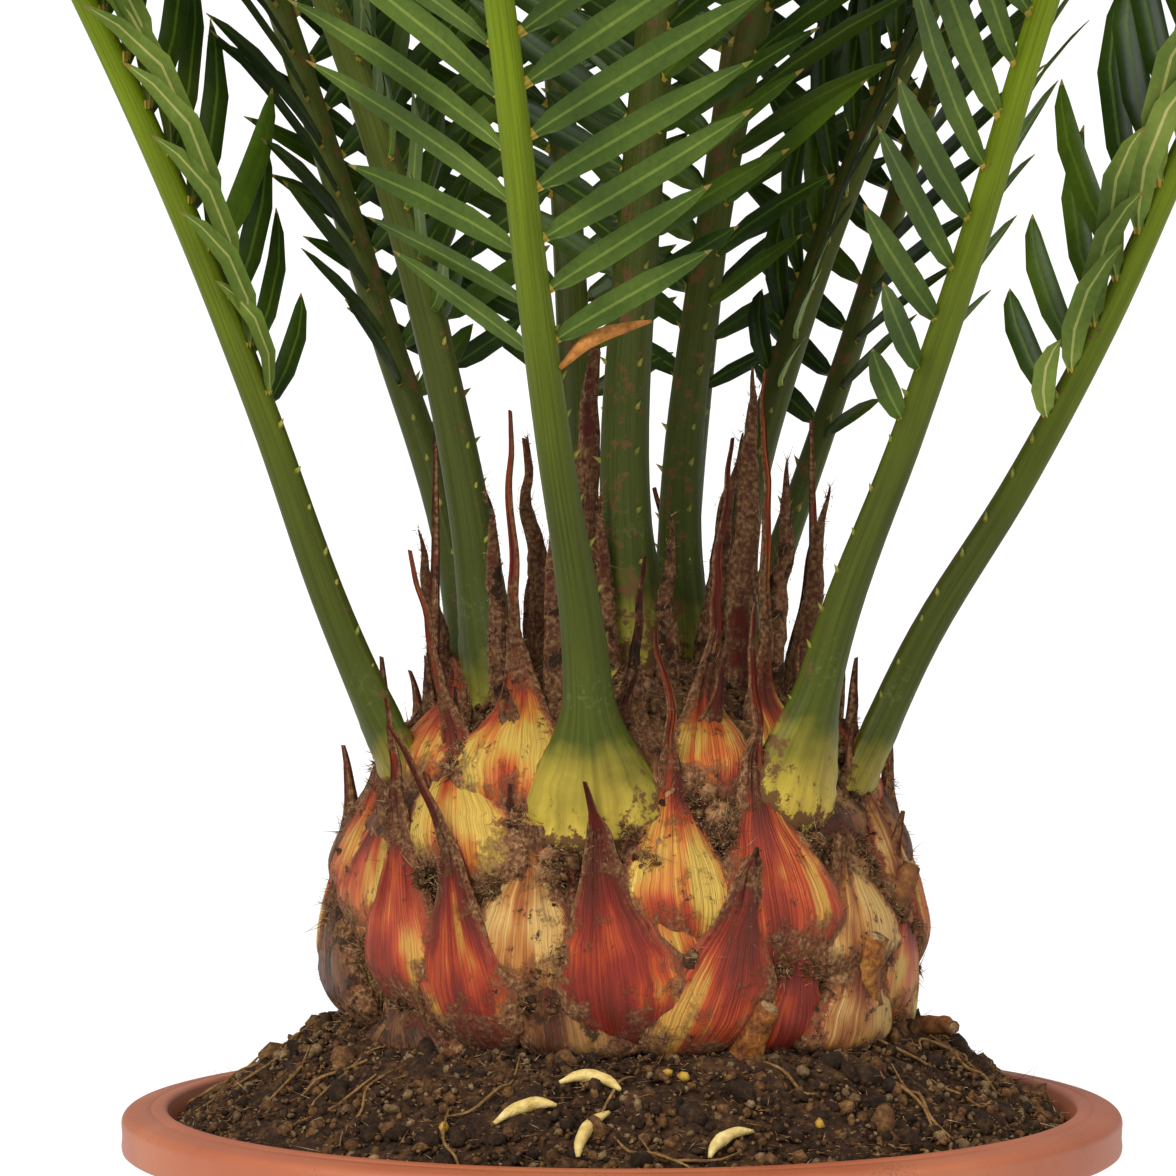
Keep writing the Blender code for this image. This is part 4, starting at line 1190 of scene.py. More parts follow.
# %% Trunk: tufts of matted wool
FRONT_TUFTS = (
    (-11, 18, 7),
    (-13, 8, 6),
    (17, 45, 8),
    (22, 38, 6),
    (38, 13, 6),
    (30, 20, 4),
    (-23, 35, 6),
    (-27, 29, 4),
    (-68, 6, 8),
    (-60, 14, 5),
    (60, 32, 7),
    (44, 36, 5),
    (-45, 50, 7),
    (-10, 50, 6),
    (35, 50, 7),
    (68, 22, 6),
    (4, 6, 5),
    (-38, 4, 5),
    (-14, 33, 5),
    (-4, 31, 4),
    (5, 34, 5),
    (-24, 40, 5),
    (37, 34, 4),
    (-44, 30, 4),
    (24, 22, 4),
)
BACK_TUFTS = 34
TUFT_LIFT = 4.6
FOOT_TUFT = 3.8
FOOT_SHARE = 0.34
HAIRS_EACH = 330
CRUMBS_EACH = 38
LUMPS_EACH = 6
LUMP_SINK = 2.2
TUFT_HAIR_WIDTH = 0.11 * MM
TRUNK_RADIUS = 50.0


def tuft_rows():
    """Azimuth, height and size of every tuft."""
    rows = list(FRONT_TUFTS)
    rows += [(dice.uniform(80, 280), dice.uniform(4, 52), dice.uniform(4, 8)) for _ in range(BACK_TUFTS)]
    for azimuth, height, _, body, _, tilt, *_ in OUTER_SCALES:
        below = FOOT_SHARE * body
        aside = math.degrees(below * math.tan(math.radians(tilt)) / TRUNK_RADIUS)
        rows.append((azimuth - aside, height - below, FOOT_TUFT))
    return rows


def in_tufts(rows, count, sunk=0.0):
    """Places by chance in every tuft, highest at its middle."""
    places = []
    for azimuth, height, size in rows:
        off = dice.normal(0.0, size * 0.42, (2, count))
        lift = dice.uniform(-1.0, 1.0, count) - sunk + TUFT_LIFT * np.exp(-(off**2).sum(0) / size**2)
        up = np.clip(height + off[1], 0.5, 64.0) * MM
        places.append(on_trunk(azimuth + np.degrees(off[0] / TRUNK_RADIUS), up, lift * MM))
    return np.concatenate(places)


def make_tufts():
    rows = tuft_rows()
    roots = in_tufts(rows, HAIRS_EACH)
    ways = unit(roots * LEVEL) * 0.5 + dice.normal(0.0, 0.9, roots.shape)
    lengths = mostly_small(len(roots), 0.9, 2.4, 6.0)
    show_hairs("felt_tufts", roots, ways, lengths, TUFT_HAIR_WIDTH, (0.5, 0.36, 0.14))
    places = in_tufts(rows, CRUMBS_EACH)
    sizes = mostly_small(len(places), 0.3, 3.0, 3.0)
    show_crumbs("felt_crumbs", GAP_BALLS, places, sizes, (0.15, 0.60, 0.25))
    places = in_tufts(rows, LUMPS_EACH, LUMP_SINK)
    sizes = dice.uniform(1.2, 3.0, len(places)) * MM
    lumps = scattered(CLOD_BALLS, places, sizes, dice.integers(0, 2, len(places)))
    show("felt_lumps", mesh_of("felt_lumps", *lumps), [felt, WOOL_FINISHES[0]])


make_tufts()

# %% [markdown]
# Small things lie on the soil and stick to the plant: four pale husks, thin dry roots, the brown and
# amber stubs of leaves that were cut off, and one leaflet that dried on its stalk. Each is a thin,
# uneven tube bent through a few places, so one function makes them all. The husks, the stubs and the
# leaflet stand where the photograph shows them, and the roots lie by chance. A husk is given by its
# side, its place behind the axis and its turn, and a stub by its line, its radii and its finish.

# %% Debris: bent tubes
TWIG_TUBE = tube(9, 14)
HUSK_SPOTS = ((-17.0, -63.5, 8), (-5.6, -59.5, -12), (-5.8, -70.0, 60), (18.0, -70.0, 45))
HUSK_LINE = ((-5.4, -1.0), (-2.8, 0.6), (0.0, 1.1), (2.8, 0.6), (5.4, -1.0))
HUSK_RADII = (0.35, 0.95, 1.2, 1.0, 0.3)
HUSK_LIFT = 1.6 * MM
ROOTS = 46
ROOT_POINTS = 5
ROOT_RADII = (0.22, 0.30, 0.12)
ROOT_LIMIT = 79.0 * MM
HUSK, ROOT, AMBER, CUT, BROWN, DRY = range(6)
STUBS = (
    (((41.0, -28.5, 8.0), (42.5, -31.0, 14.0), (44.5, -32.0, 19.0)), (4.8, 3.3, 2.5), AMBER),
    (((20.5, -45.0, -2.0), (23.0, -48.0, 4.0), (25.5, -49.5, 8.5)), (3.8, 2.7, 2.1), AMBER),
    (((46.0, -16.0, 20.0), (49.5, -17.5, 26.0), (51.5, -17.0, 30.0)), (4.0, 2.4, 1.7), BROWN),
    (((53.0, -10.0, 0.0), (56.5, -13.0, 0.8), (59.0, -16.0, 0.6)), (1.9, 1.8, 1.3), BROWN),
)
STUB_END = 0.35 * MM
STUB_END_SHARES = (0.96, 0.7)
DRY_LEAFLET = ((-11.0, -62.0, 120.5), (-6.0, -61.5, 125.0), (-1.0, -60.5, 127.0), (4.8, -58.0, 128.4))
DRY_RADII = (0.5, 1.3, 1.1, 0.25)


def bent_tube(line, radii):
    """Points of a tube through a few places, with evenly spaced radii (mm) along it."""
    points, _, turn = TWIG_TUBE
    share = points[:, 2]
    place, way = through(np.array(line), share, 0.03)
    side = unit(np.cross(way, (0.5, -0.3, 0.8)))
    thick = flowing(np.stack((np.linspace(0.0, 1.0, len(radii)), np.array(radii) * MM), 1), share)
    thick = (thick * (1.0 + 0.24 * rough(points * (0.8, 0.8, 4.0), 1.0, line[0][0] * 900.0, 2)))[:, None]
    angle = (turn * math.tau)[:, None]
    return place + (side * np.cos(angle) + np.cross(way, side) * np.sin(angle)) * thick


def on_soil(x, y, lift=0.0):
    return np.array((x, y, soil_height(math.hypot(x, y)) + lift))


def husk(x, y, turned):
    """A thin husk that lies bowed on the soil."""
    way = np.array((math.cos(math.radians(turned)), math.sin(math.radians(turned))))
    bow = np.array((-way[1], way[0])) * 0.8
    spots = [(np.array((x, y)) + way * far + bow * out) * MM for far, out in HUSK_LINE]
    return bent_tube([on_soil(*spot, HUSK_LIFT) for spot in spots], HUSK_RADII)


def thin_root():
    """A root that wanders over the soil, and stays inside the pot."""
    radius, angle = dice.uniform(52.0, 78.0) * MM, dice.uniform(0.0, math.tau)
    spot = np.array((radius * math.cos(angle), radius * math.sin(angle)))
    heading = dice.uniform(0.0, math.tau)
    line = []
    for _ in range(ROOT_POINTS):
        line.append(on_soil(*spot, dice.uniform(0.0, 2.0) * MM))
        heading += dice.normal(0.0, 0.6)
        spot = spot + np.array((math.cos(heading), math.sin(heading))) * dice.uniform(2.0, 6.0) * MM
        spot = spot * min(1.0, ROOT_LIMIT / np.linalg.norm(spot))
    return bent_tube(line, ROOT_RADII)


def cut_stub(line, radii):
    """A stub and the flat face where it was cut."""
    line = np.array(line) * MM + (0.0, 0.0, GROUND)
    end = unit(line[-1] - line[-2]) * STUB_END
    cut_radii = [share * radii[-1] for share in STUB_END_SHARES]
    return bent_tube(line, radii), bent_tube([line[-1] - end, line[-1] + end], cut_radii)


def make_debris():
    built = [(husk(*spot), HUSK) for spot in HUSK_SPOTS]
    built += [(thin_root(), ROOT) for _ in range(ROOTS)]
    for line, radii, finish in STUBS:
        stub, face = cut_stub(line, radii)
        built += [(stub, finish), (face, CUT)]
    built.append((bent_tube(np.array(DRY_LEAFLET) * MM + (0.0, 0.0, GROUND), DRY_RADII), DRY))
    corners, faces, _ = TWIG_TUBE
    points = np.concatenate([points for points, _ in built])
    tints = np.repeat([finish for _, finish in built], len(faces))
    finishes = [
        earth("pale_dry_husk", "#a98a48", "#cdb26a", "#e0cd92", 1.6, 0.6),
        earth("thin_dry_root", "#523a20", "#7a5a32", "#98774a", 0.8),
        earth("waxy_amber_stub", "#4a2612", "#87501f", "#b8863c", 1.1, 0.6),
        earth("pale_cut_end", "#6a5036", "#94754e", "#b79a70", 0.5),
        earth("brown_dead_stub", "#4a2f1a", "#754a28", "#9a6a3a", 1.6, 0.8),
        earth("dry_orange_leaflet", "#8a5424", "#b27434", "#cf9a54", 1.6, 0.6),
    ]
    mesh = mesh_of("debris", points, repeated(faces, len(built), len(corners)), tints)
    show("debris", mesh, finishes)


make_debris()

# %% [markdown]
# Wood fibres stick out all over the soil, and four ochre grains of grit lie on it in front. The fibres
# are the wool's slivers again, laid flatter and by chance. The grains lie where the photograph shows
# them.

# %% Soil: fibres and grit
SOIL_HAIRS = 7000
SOIL_HAIR_WIDTH = 0.10 * MM
GRIT_SPOTS = ((7.6, -57.0), (10.4, -57.4), (-31.0, -62.0), (34.0, -60.0))
GRIT_SIZE = 1.1 * MM
GRIT_LIFT = 0.9 * MM
fibre_places = on_heap(SOIL_HAIRS, 44 * MM, 80 * MM, 0.6 * MM)
fibre_ways = dice.normal(0.0, 1.0, fibre_places.shape) * (1.0, 1.0, 0.3)
fibre_lengths = mostly_small(SOIL_HAIRS, 1.0, 2.0, 7.0)
fibre_mix = (0.40, 0.45, 0.15)
show_hairs("soil_fibres", fibre_places, fibre_ways, fibre_lengths, SOIL_HAIR_WIDTH, fibre_mix)
grains = np.array([on_soil(x * MM, y * MM, GRIT_LIFT) for x, y in GRIT_SPOTS])
grit = scattered(GAP_BALLS, grains, np.full(len(grains), GRIT_SIZE), np.zeros(len(grains), int))
ochre = earth("ochre_grit", "#8a6420", "#b38a34", "#cda652", 1.0, 0.6)
show("grit", mesh_of("grit", *grit), [ochre])

# %% [markdown]
# A frond's rib is round below, a little flat on its upper face, with a low ridge along each upper edge
# where thorns and leaflets stand. At its foot it widens into a fan that wraps round the trunk and
# tucks in between the scales. It is one tube that is bent along the frond's route, and each point
# keeps a mark of where it is round the rib and how many centimetres it is past the pale foot. Side,
# upper side and way make a left-handed frame, so the tube's triangles are turned round to face
# outwards.

# %% Fronds: ribs
RIB_SIDES = 24
RIB_SHARES = np.concatenate((np.linspace(-0.034, 0.07, 30), np.linspace(0.08, 1.0, 82)))
RIB_TUBE = tube(RIB_SIDES, len(RIB_SHARES))
LUMPY_END = 0.05
FAN_TOP = 0.058
FAN_BASE = 0.008
FAN_CURVE = 46 * MM
FAN_TUCK = 9 * MM
BRIGHT_RIBS = ("frond_01", "frond_04", "frond_09", "frond_10")


def one_rib(frond):
    """Points and marks of one rib, from the fan at its foot to its tip."""
    points, _, turn = RIB_TUBE
    ring = np.rint(points[:, 2] * (len(RIB_SHARES) - 1)).astype(int)
    place, way, side, upper = (part[ring] for part in read_route(frond, np.maximum(RIB_SHARES, ROUTE_STEP)))
    share = RIB_SHARES[ring]
    below = np.clip(share / RIB_SHARES[0], 0.0, 1.0)[:, None]
    place = place + way * (np.minimum(share, 0.0) * frond["length"] * MM)[:, None]
    # The section: a flat upper face between two low ridges, and a lumpy foot.
    angle = turn * math.tau
    across, up = np.cos(angle), np.sin(angle)
    section = 1.0 - 0.16 * np.clip(up, 0.0, 1.0) ** 2 + 0.07 * np.exp(-((up - 0.55) / 0.22) ** 2)
    lumpy = np.clip(1.0 - share / LUMPY_END, 0.0, 1.0)
    lumps = lumpy * rough(points * (4.0, 4.0, 60.0), 1.0, frond["heading"], 3)
    radius = frond_radius(frond, np.maximum(share, 0.0)) * (section + 0.14 * lumps)
    offset = (side * across[:, None] + upper * up[:, None]) * radius[:, None]
    # The fan: wider along the trunk, bent round it, closed below and tucked in.
    out = unit(np.array((frond["side"], frond["behind"], 0.0)))
    tangent = np.array((-out[1], out[0], 0.0))
    spread = frond["flare"] * smooth((FAN_TOP - share) / (FAN_TOP - FAN_BASE))
    reach = (offset @ tangent)[:, None]
    wide = reach * spread[:, None]
    offset = (offset + tangent * wide) * np.sqrt(1.0 - 0.96 * below**2)
    offset = offset - out * (reach + wide) ** 2 / (2.0 * FAN_CURVE)
    made = place + offset - out * FAN_TUCK * smooth(below)
    marks = np.stack((across, up, (share * frond["length"] - frond["pale"]) / 10.0), axis=1)
    return made, marks


print("a rib has", len(RIB_TUBE[1]), "triangles")

# %% [markdown]
# A living stalk has a waxy skin over green tissue. Near its foot it has a whitish bloom, and at the
# very foot, where no light reached it, it is yellow with brown felt. Fine lengthwise lines and patches
# of brown scurf, most of all on the upper face, keep it from looking like plastic tube.

# %% Fronds: stalk skin
BLOOM = "#929a72"
SCURF = "#5e4226"


def stalk_skin(name, foot, low, high):
    made, tree = new_material(name)
    place = add(tree, "TexCoord").outputs["Object"]
    mark = add(tree, "Attribute", attribute_name="stalk").outputs["Vector"]
    split = add(tree, "SeparateXYZ", {"Vector": mark})
    along = split.outputs["Z"]
    # The green, from the pale foot upwards, with fine lengthwise lines.
    cloud = add(tree, "TexNoise", {"Vector": place, "Scale": 1.0 / (9 * MM), "Detail": 3.0})
    shifted = weighted_sum(tree, along, (cloud, 1.6))
    share = add(tree, "MapRange", {"Value": shifted, "From Min": -0.6, "From Max": 17.0})
    bands = [(0.0, foot), (0.04, foot), (0.12, low), (0.35, low), (0.8, high)]
    body = add(tree, "ValToRGB", {"Fac": share}, stops=bands)
    stretched = add(tree, "Mapping", {"Vector": mark, "Scale": (7.0, 7.0, 0.35)})
    lines = add(tree, "TexNoise", {"Vector": stretched, "Scale": 1.0, "Detail": 5.0})
    lined = {"Value": lines, "From Min": 0.3, "From Max": 0.7, "To Min": 0.70, "To Max": 1.22}
    tone = add(tree, "MapRange", lined)
    body = add(tree, "Mix", {"Factor": 1.0, "A": body, "B": tone}, data_type="RGBA", blend_type="MULTIPLY")
    # The whitish bloom over the foot.
    frost = add(tree, "TexNoise", {"Vector": place, "Scale": 1.0 / (1.1 * MM), "Detail": 5.0})
    near = add(tree, "MapRange", {"Value": along, "From Min": 5.0, "From Max": 0.8})
    under = add(tree, "MapRange", {"Value": along, "From Min": 0.5, "From Max": 1.5})
    bloom = add(tree, "Math", {0: near, 1: under}, operation="MULTIPLY")
    bloom = add(tree, "Math", {0: frost, 1: bloom}, operation="MULTIPLY")
    bloom = add(tree, "MapRange", {"Value": bloom, "From Min": 0.42, "From Max": 0.75, "To Max": 0.26})
    body = add(tree, "Mix", {"Factor": bloom, "A": body, "B": BLOOM}, data_type="RGBA")
    # Scurf: a little everywhere, more on the upper face, and felt on the foot, its margin and its hem.
    patchy = {"Vector": place, "Scale": 1.0 / (3.2 * MM), "Detail": 7.0, "Roughness": 0.72}
    scurf = add(tree, "TexNoise", patchy)
    felted = add(tree, "MapRange", {"Value": along, "From Min": 1.0, "From Max": -1.2})
    side = add(tree, "Math", {0: split.outputs["X"]}, operation="ABSOLUTE")
    margin = add(tree, "Math", {0: side, 1: 9.0}, operation="POWER")
    margin = add(tree, "Math", {0: margin, 1: felted}, operation="MULTIPLY")
    hem = add(tree, "MapRange", {"Value": along, "From Min": -0.6, "From Max": -1.4})
    felts = ((split.outputs["Y"], 0.09), (felted, 0.15), (hem, 0.16), (margin, 0.20))
    scurf = weighted_sum(tree, scurf, *felts)
    scurf = add(tree, "MapRange", {"Value": scurf, "From Min": 0.62, "From Max": 0.68})
    body = add(tree, "Mix", {"Factor": scurf, "A": body, "B": SCURF}, data_type="RGBA")
    relief = weighted_sum(tree, frost, (lines, 0.6))
    bump = add(tree, "Bump", {"Height": relief, "Strength": 0.4, "Distance": 0.3 * MM})
    dull = add(tree, "MapRange", {"Value": scurf, "To Min": 0.48, "To Max": 0.9})
    finish_material(tree, Base_Color=body, Roughness=dull, Normal=bump, Specular_IOR_Level=0.14)
    return made


def make_ribs():
    built = [one_rib(frond) for frond in FRONDS.values()]
    corners, faces, _ = RIB_TUBE
    kinds = [0 if name in BRIGHT_RIBS else 1 for name in FRONDS]
    mesh = joined("frond_ribs", (corners, faces[:, ::-1], None), built, kinds, "stalk")
    skins = [
        stalk_skin("bright_green_stalk", "#ad9538", "#3f4610", "#63740a"),
        stalk_skin("dark_green_stalk", "#9a8f36", "#3a4112", "#454d14"),
    ]
    show("frond_ribs", mesh, skins, list(FRONDS))


make_ribs()

# %% [markdown]
# Along both upper edges of the bare stalk stand short thorns, which are leaflets that never grew.
# Each is a small bent cone, in patches of yellow green and dry brown. They end where the true leaflets
# begin.

# %% Fronds: thorns
EDGE_SIDE = 0.86
EDGE_UP = 0.5
THORN = cone(6, 0.5)
THORN_SPACING = 6.6
THORN_LENGTH = 2.0 * MM
THORN_WIDTH = 1.9 * MM
THORN_THICKNESS = 1.3 * MM
THORN_BEND = 0.8 * MM
THORN_ROOT = 0.86
THORN_FIRST = 0.045
THORN_PAST = 0.01
THORN_JITTER = 0.003


def upper_edge(side, upper):
    """The way from the middle of a rib to its upper edge on one side."""
    return unit(side * EDGE_SIDE + upper * EDGE_UP)


def thorns_on(frond, hand):
    """Points of the thorns on one side of a stalk."""
    first, last = THORN_FIRST, frond["bare"] + THORN_PAST
    count = int((last - first) * frond["length"] / THORN_SPACING)
    share = np.linspace(first, last, count) + dice.uniform(-THORN_JITTER, THORN_JITTER, count)
    place, way, side, upper = read_route(frond, share)
    out = upper_edge(side * hand, upper)
    place = place + out * frond_radius(frond, share)[:, None] * THORN_ROOT
    point = unit(out + way * dice.uniform(0.2, 0.7, (count, 1)))
    long = THORN_LENGTH * dice.uniform(0.6, 1.2, (count, 1, 1))
    across = unit(np.cross(point, way))
    x, y, z = (THORN[0][None, :, part, None] for part in range(3))
    shape = x * way[:, None] * THORN_WIDTH + y * across[:, None] * THORN_THICKNESS + z * point[:, None] * long
    shape += way[:, None] * z**2 * THORN_BEND
    return (place[:, None] + shape).reshape(-1, 3)


def make_thorns():
    corners, faces, _ = THORN
    points = np.concatenate([thorns_on(frond, hand) for frond in FRONDS.values() for hand in (-1, 1)])
    mesh = mesh_of("thorns", points, repeated(faces, len(points) // len(corners), len(corners)))
    show("thorns", mesh, [earth("yellow_green_thorn", "#5c6420", "#7f7d30", "#9a8440", 1.5, 0.5)])


make_thorns()

# %% [markdown]
# A leaflet is a stiff narrow blade with a groove above its midrib, a raised midrib below, margins that
# roll down, and a swollen yellow joint where it meets the rib. All leaflets share one closed template
# of about seventy faces, a section that is extruded seven times. Each face knows what it is, skin
# above, groove, skin below, vein, joint or tip, so colours stay sharp however the copies are bent.
# Extruding leaves the old end faces inside, so all but the outer one are deleted.

# %% Fronds: the leaflet's template
LEAF_SECTION = (
    (-1.0, -0.95),
    (-0.60, 0.15),
    (-0.11, -0.10),
    (0.11, -0.10),
    (0.60, 0.15),
    (1.0, -0.95),
    (0.58, -0.55),
    (0.11, -1.15),
    (-0.11, -1.15),
    (-0.58, -0.55),
)
LEAF_OUTLINE = (
    (0.0, 0.30),
    (0.03, 0.36),
    (0.10, 0.72),
    (0.26, 0.96),
    (0.5, 1.0),
    (0.72, 0.84),
    (0.86, 0.54),
    (0.955, 0.20),
    (1.0, 0.03),
)
LEAF_PLACES = (0.0, 0.03, 0.10, 0.30, 0.60, 0.84, 0.955, 1.0)
ABOVE, GROOVE, BELOW, VEIN, JOINT, TIP = range(6)


def leaf_template():
    """Points as (across, thickness, along), with what each face is as its material number."""
    shape = bmesh.new()
    last = shape.faces.new([shape.verts.new((x, z, 0.0)) for x, z in LEAF_SECTION])
    spent = []
    for low, high in zip(LEAF_PLACES, LEAF_PLACES[1:]):
        made = bmesh.ops.extrude_face_region(shape, geom=[last])["geom"]
        risen = [g for g in made if isinstance(g, bmesh.types.BMVert)]
        bmesh.ops.translate(shape, verts=risen, vec=(0.0, 0.0, high - low))
        spent.append(last)
        last = next(g for g in made if isinstance(g, bmesh.types.BMFace))
    bmesh.ops.delete(shape, geom=spent[1:], context="FACES_ONLY")
    bmesh.ops.recalc_face_normals(shape, faces=shape.faces)
    for face in shape.faces:
        middle = face.calc_center_median()
        face.material_index = ABOVE if middle.y > -0.5 else BELOW
        if abs(middle.x) < 0.1:
            face.material_index = GROOVE if middle.y > -0.5 else VEIN
        if middle.z < LEAF_PLACES[1]:
            face.material_index = JOINT
        if middle.z > LEAF_PLACES[-2]:
            face.material_index = TIP
    return arrays(shape)


LEAF = leaf_template()
print("one leaflet has", len(LEAF[1]), "triangles")

# %% [markdown]
# The leaflets stand along both upper edges of the rib by the CAD's rule: at a wide angle to it low down
# and swept forward at the tip, raised so that both rows make an open V. Their length swells until
# nearly half way up and falls off to the tip. Each copy bows a little forward and down. On a few fronds
# the photograph shows the low ones at other angles, so those rows have habits of their own: spread,
# raise, curl, first length and roll. A leaflet whose middle line would come near another frond's rib
# is made shorter, or left out.

# %% Fronds: placing the leaflets
LEAF_SPACING = 9.2
LEAF_LENGTH = 95 * MM
LEAF_WIDTH = 5.9 * MM
LEAF_THICKNESS = 0.42 * MM
LEAF_END = 0.985
LEAF_STAGGER = {-1: 0.45, 1: 0.20}
LEAF_LONGEST_AT = 0.45
LEAF_FIRST_POWER = 0.66
LEAF_LOSS = 0.52
LEAF_LAST_POWER = 1.8
LEAF_FORWARD = 64.0
LEAF_FORWARD_LOSS = 0.47
LEAF_LIFT_LOSS = 0.3
LEAF_CURL = 0.05
LEAF_HABITS = {
    ("frond_01", -1): (30.0, 72.0, 0.34, 0.20, 62.0),
    ("frond_01", 1): (58.0, 60.0, 0.04, 0.30, 0.0),
    ("frond_07", -1): (34.0, 48.0, 0.16, 0.16, 40.0),
    ("frond_09", 1): (54.0, 24.0, 0.05, 0.20, 0.0),
    ("frond_10", -1): (60.0, 66.0, 0.10, 0.30, 0.0),
    ("frond_10", 1): (34.0, 66.0, 0.20, 0.14, 20.0),
}
LEAF_SPARE = 1.6 * MM
LEAF_ROOT = 0.8
LEAF_CHECKS = 10
JOINT_END = 0.06
JOINT_SWELL = 1.7
BLADE_DEPTHS = ((0, 1), (0.8, 0.9), (1, 0.25))
FULL_WIDTH_LENGTH = 60 * MM
UPRIGHT = np.array((0.0, 0.0, 1.0))


def leaf_length(share, first):
    rise = first + (1.0 - first) * np.clip(share / LEAF_LONGEST_AT, 0.0, 1.0) ** LEAF_FIRST_POWER
    fall = 1.0 - LEAF_LOSS * past(share, LEAF_LONGEST_AT) ** LEAF_LAST_POWER
    return LEAF_LENGTH * np.minimum(rise, fall)


def leaf_lines(name, frond, hand):
    """Root, axis, upper side, bend and length of each leaflet on one side of a frond."""
    leafy = (LEAF_END - frond["bare"]) * frond["length"]
    count = round(leafy / LEAF_SPACING)
    blade = (np.arange(count) + LEAF_STAGGER[hand]) / count
    share = frond["bare"] + (LEAF_END - frond["bare"]) * blade
    place, way, side, upper = read_route(frond, share)
    side = side * hand
    plain = (LEAF_FORWARD, frond["lift"], LEAF_CURL, frond["first"], 0.0)
    spread, raised, curl, first, roll = LEAF_HABITS.get((name, hand), plain)
    forward = np.radians(spread * (1.0 - LEAF_FORWARD_LOSS * blade) + dice.normal(0.0, 3.0, count))[:, None]
    lift = np.radians(raised * (1.0 - LEAF_LIFT_LOSS * blade) + dice.normal(0.0, 3.0, count))[:, None]
    outward = side * np.cos(lift) + upper * np.sin(lift)
    axis = way * np.cos(forward) + outward * np.sin(forward)
    root = place + upper_edge(side, upper) * frond_radius(frond, share)[:, None] * LEAF_ROOT
    bow = dice.uniform(0.04, 0.12, (count, 1)) + 0.16 * np.sin(lift) ** 2 + curl
    bend = way * dice.uniform(-0.02, 0.05, (count, 1)) - upper * bow
    bend = bend - UPRIGHT * dice.uniform(0.0, 0.06, (count, 1))
    across = unit(way - axis * (way * axis).sum(1, keepdims=True))
    face = np.cross(axis, across)
    face = face * np.sign((face * upper).sum(1, keepdims=True))
    face = unit(face + across * (math.tan(math.radians(roll)) + dice.normal(0.0, 0.10, (count, 1))))
    length = leaf_length(blade, first) * dice.uniform(0.90, 1.04, count)
    return root, axis, face, bend, length


def bent_leaves(root, axis, face, bend, length):
    """Points of every copy of the template along its own bent line."""
    corners = LEAF[0]
    along = corners[None, :, 2, None]
    centre = root[:, None] + length[:, None, None] * (axis[:, None] * along + bend[:, None] * along**2)
    way = unit(axis[:, None] + 2.0 * bend[:, None] * along)
    up = unit(face[:, None] - way * (face[:, None] * way).sum(-1, keepdims=True))
    across = np.cross(up, way)
    half = LEAF_WIDTH / 2.0 * (0.62 + 0.38 * np.clip(length / FULL_WIDTH_LENGTH, 0.0, 1.0))
    wide = flowing(LEAF_OUTLINE, corners[:, 2])[None] * half[:, None] * corners[None, :, 0]
    joint = np.where(corners[:, 2] < JOINT_END, JOINT_SWELL, 1.0)
    thick = LEAF_THICKNESS * (joint * flowing(BLADE_DEPTHS, corners[:, 2]))[None]
    deep = thick * corners[None, :, 1] * (0.8 + 0.2 * half[:, None] / LEAF_WIDTH * 2.0)
    return centre + across * wide[..., None] + up * deep[..., None]


def clear_length(root, axis, bend, length, owner):
    """The share of its length that a leaflet may have before it nears another frond's rib."""
    steps = np.linspace(1.0 / LEAF_CHECKS, 1.0, LEAF_CHECKS)
    others = RIB_OWNER != owner
    for number, step in enumerate(steps):
        spot = root + length * (axis * step + bend * step * step)
        apart = np.linalg.norm(RIB_POINTS[others] - spot, axis=1) - RIB_RADII[others]
        if apart.min() < LEAF_SPARE:
            return steps[number - 1] if number > 0 else 0.0
    return 1.0


print("the longest leaflets are", round(float(leaf_length(LEAF_LONGEST_AT, 0.0)) / MM), "mm long")

# %% [markdown]
# A sago leaflet is dark and glossy above, as its thick cuticle is waxy and smooth. Below it is paler and
# dull. Young fronds are a fresh yellow green. Three greens above and two below are dealt out by
# frond and by leaflet, and a soft noise shifts each of them a little along the plant.

# %% Fronds: leaf finishes
def leaf_skin(name, dark, middle, light, roughness, lines=0.25, size=26):
    made, tree = new_material(name)
    place = add(tree, "TexCoord").outputs["Object"]
    cloud = add(tree, "TexNoise", {"Vector": place, "Scale": 1.0 / (size * MM), "Detail": 2.0})
    fine = add(tree, "TexNoise", {"Vector": place, "Scale": 1.0 / (1.1 * MM), "Detail": 3.0})
    mixed = add(tree, "Math", {0: fine, 1: lines, 2: cloud}, operation="MULTIPLY_ADD")
    low, high = 0.32 + 0.35 * lines, 0.68 + 0.65 * lines
    level = add(tree, "MapRange", {"Value": mixed, "From Min": low, "From Max": high})
    tone = add(tree, "ValToRGB", {"Fac": level}, stops=[(0.0, dark), (0.5, middle), (1.0, light)])
    bump = add(tree, "Bump", {"Height": fine, "Strength": 0.12, "Distance": 0.15 * MM})
    finish_material(tree, Base_Color=tone, Roughness=roughness, Normal=bump, Specular_IOR_Level=0.16)
    return made


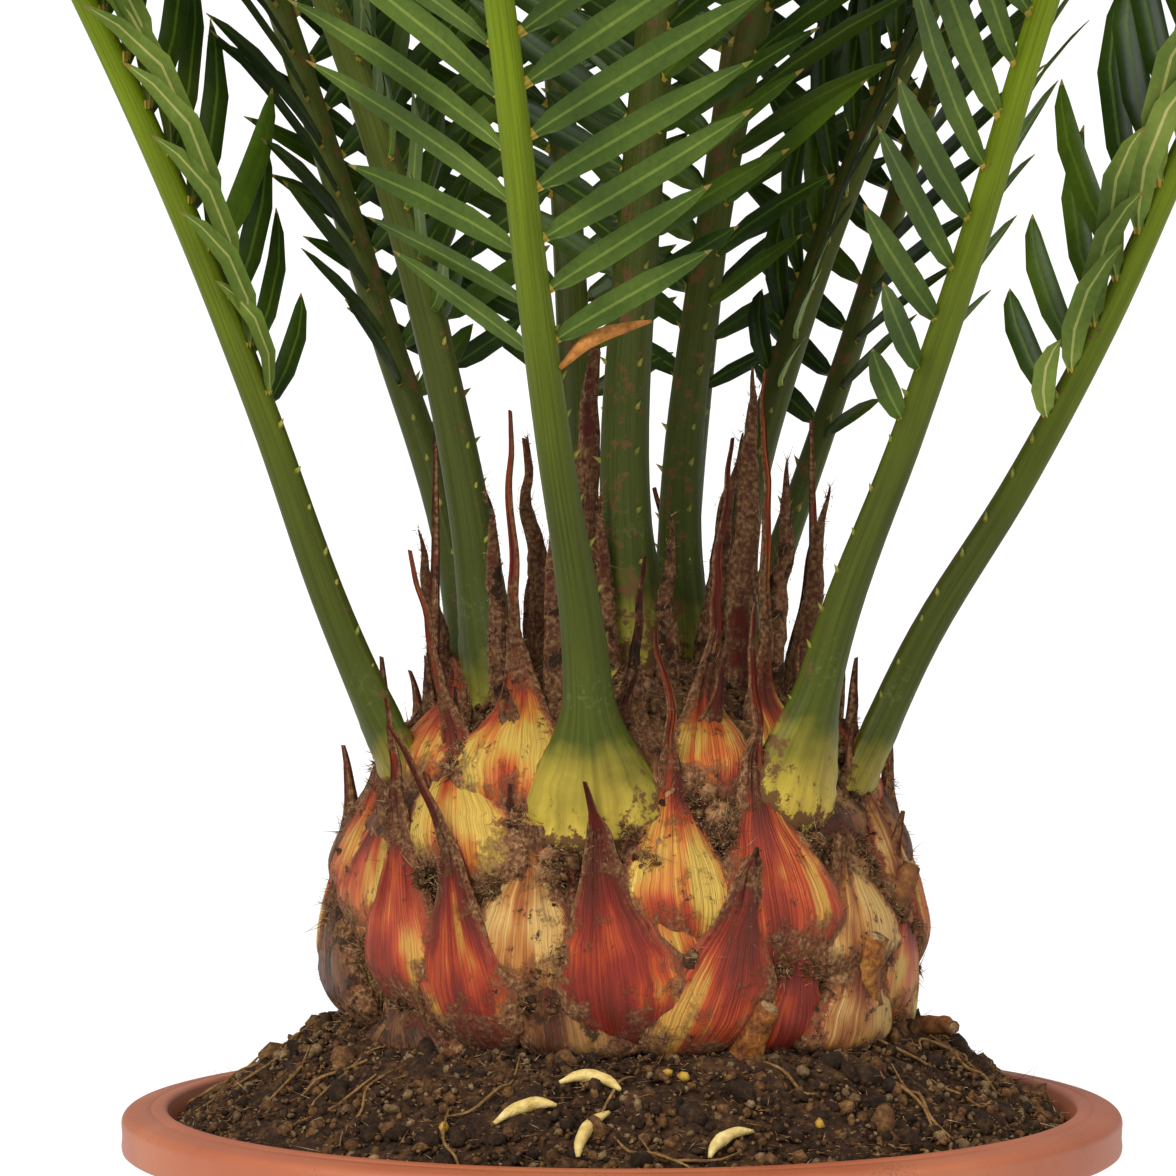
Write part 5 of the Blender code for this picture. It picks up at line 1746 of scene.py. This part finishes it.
LEAF_FINISHES = [
    leaf_skin("glossy_dark_leaf", "#152306", "#233508", "#354710", 0.32),
    leaf_skin("glossy_mid_leaf", "#223208", "#33450b", "#475a14", 0.34),
    leaf_skin("glossy_fresh_leaf", "#30440d", "#405710", "#556e18", 0.36),
    leaf_skin("groove_over_midrib", "#2a3e0d", "#3e5411", "#56681e", 0.42),
    leaf_skin("dark_leaf_underside", "#293b0f", "#3a4d14", "#50631f", 0.5),
    leaf_skin("pale_leaf_underside", "#47591f", "#5f722a", "#7a8a3a", 0.55),
    leaf_skin("green_midrib", "#46571c", "#5a6b26", "#728035", 0.5),
    leaf_skin("cream_midrib", "#7b8440", "#9a9c55", "#b4b070", 0.5),
    leaf_skin("yellow_leaf_joint", "#76702a", "#94802e", "#ac9040", 0.55, 0.6),
    leaf_skin("dry_yellow_leaf_tip", "#55622a", "#7a6e34", "#946c3a", 0.5, 0.5),
]
FRESH_FRONDS = ("frond_04", "frond_09")
PALE_BELOW = ("frond_01", "frond_07", "frond_10")
SHORTEST_LEAF = 7.0 * MM


def leaf_tints(name, count):
    """Numbers in the list of leaf finishes, one row of faces for each leaflet of a frond."""
    above = dice.choice(3, count, p=(0.15, 0.55, 0.30) if name in FRESH_FRONDS else (0.60, 0.37, 0.03))
    fixed = np.full(count, 1)
    pale = fixed * (name in PALE_BELOW)
    rows = np.stack((above, fixed * 3, 4 + pale, 6 + pale, fixed * 8, fixed * 9), axis=1)
    return rows[:, LEAF[2]]


def make_leaflets():
    corners, faces, _ = LEAF
    points, tints = [], []
    asked = 0
    for owner, (name, frond) in enumerate(FRONDS.items()):
        for hand in (-1, 1):
            root, axis, face, bend, length = leaf_lines(name, frond, hand)
            shares = [clear_length(*parts, owner) for parts in zip(root, axis, bend, length)]
            length = length * np.array(shares)
            asked += len(length)
            kept = length > SHORTEST_LEAF
            made = bent_leaves(*(part[kept] for part in (root, axis, face, bend, length)))
            points.append(made.reshape(-1, 3))
            tints.append(leaf_tints(name, int(kept.sum())).ravel())
    points = np.concatenate(points)
    count = len(points) // len(corners)
    mesh = mesh_of("leaflets", points, repeated(faces, count, len(corners)), np.concatenate(tints))
    show("leaflets", mesh, LEAF_FINISHES, list(FRONDS), sharp=50.0)
    print(count, "leaflets of", asked)


make_leaflets()
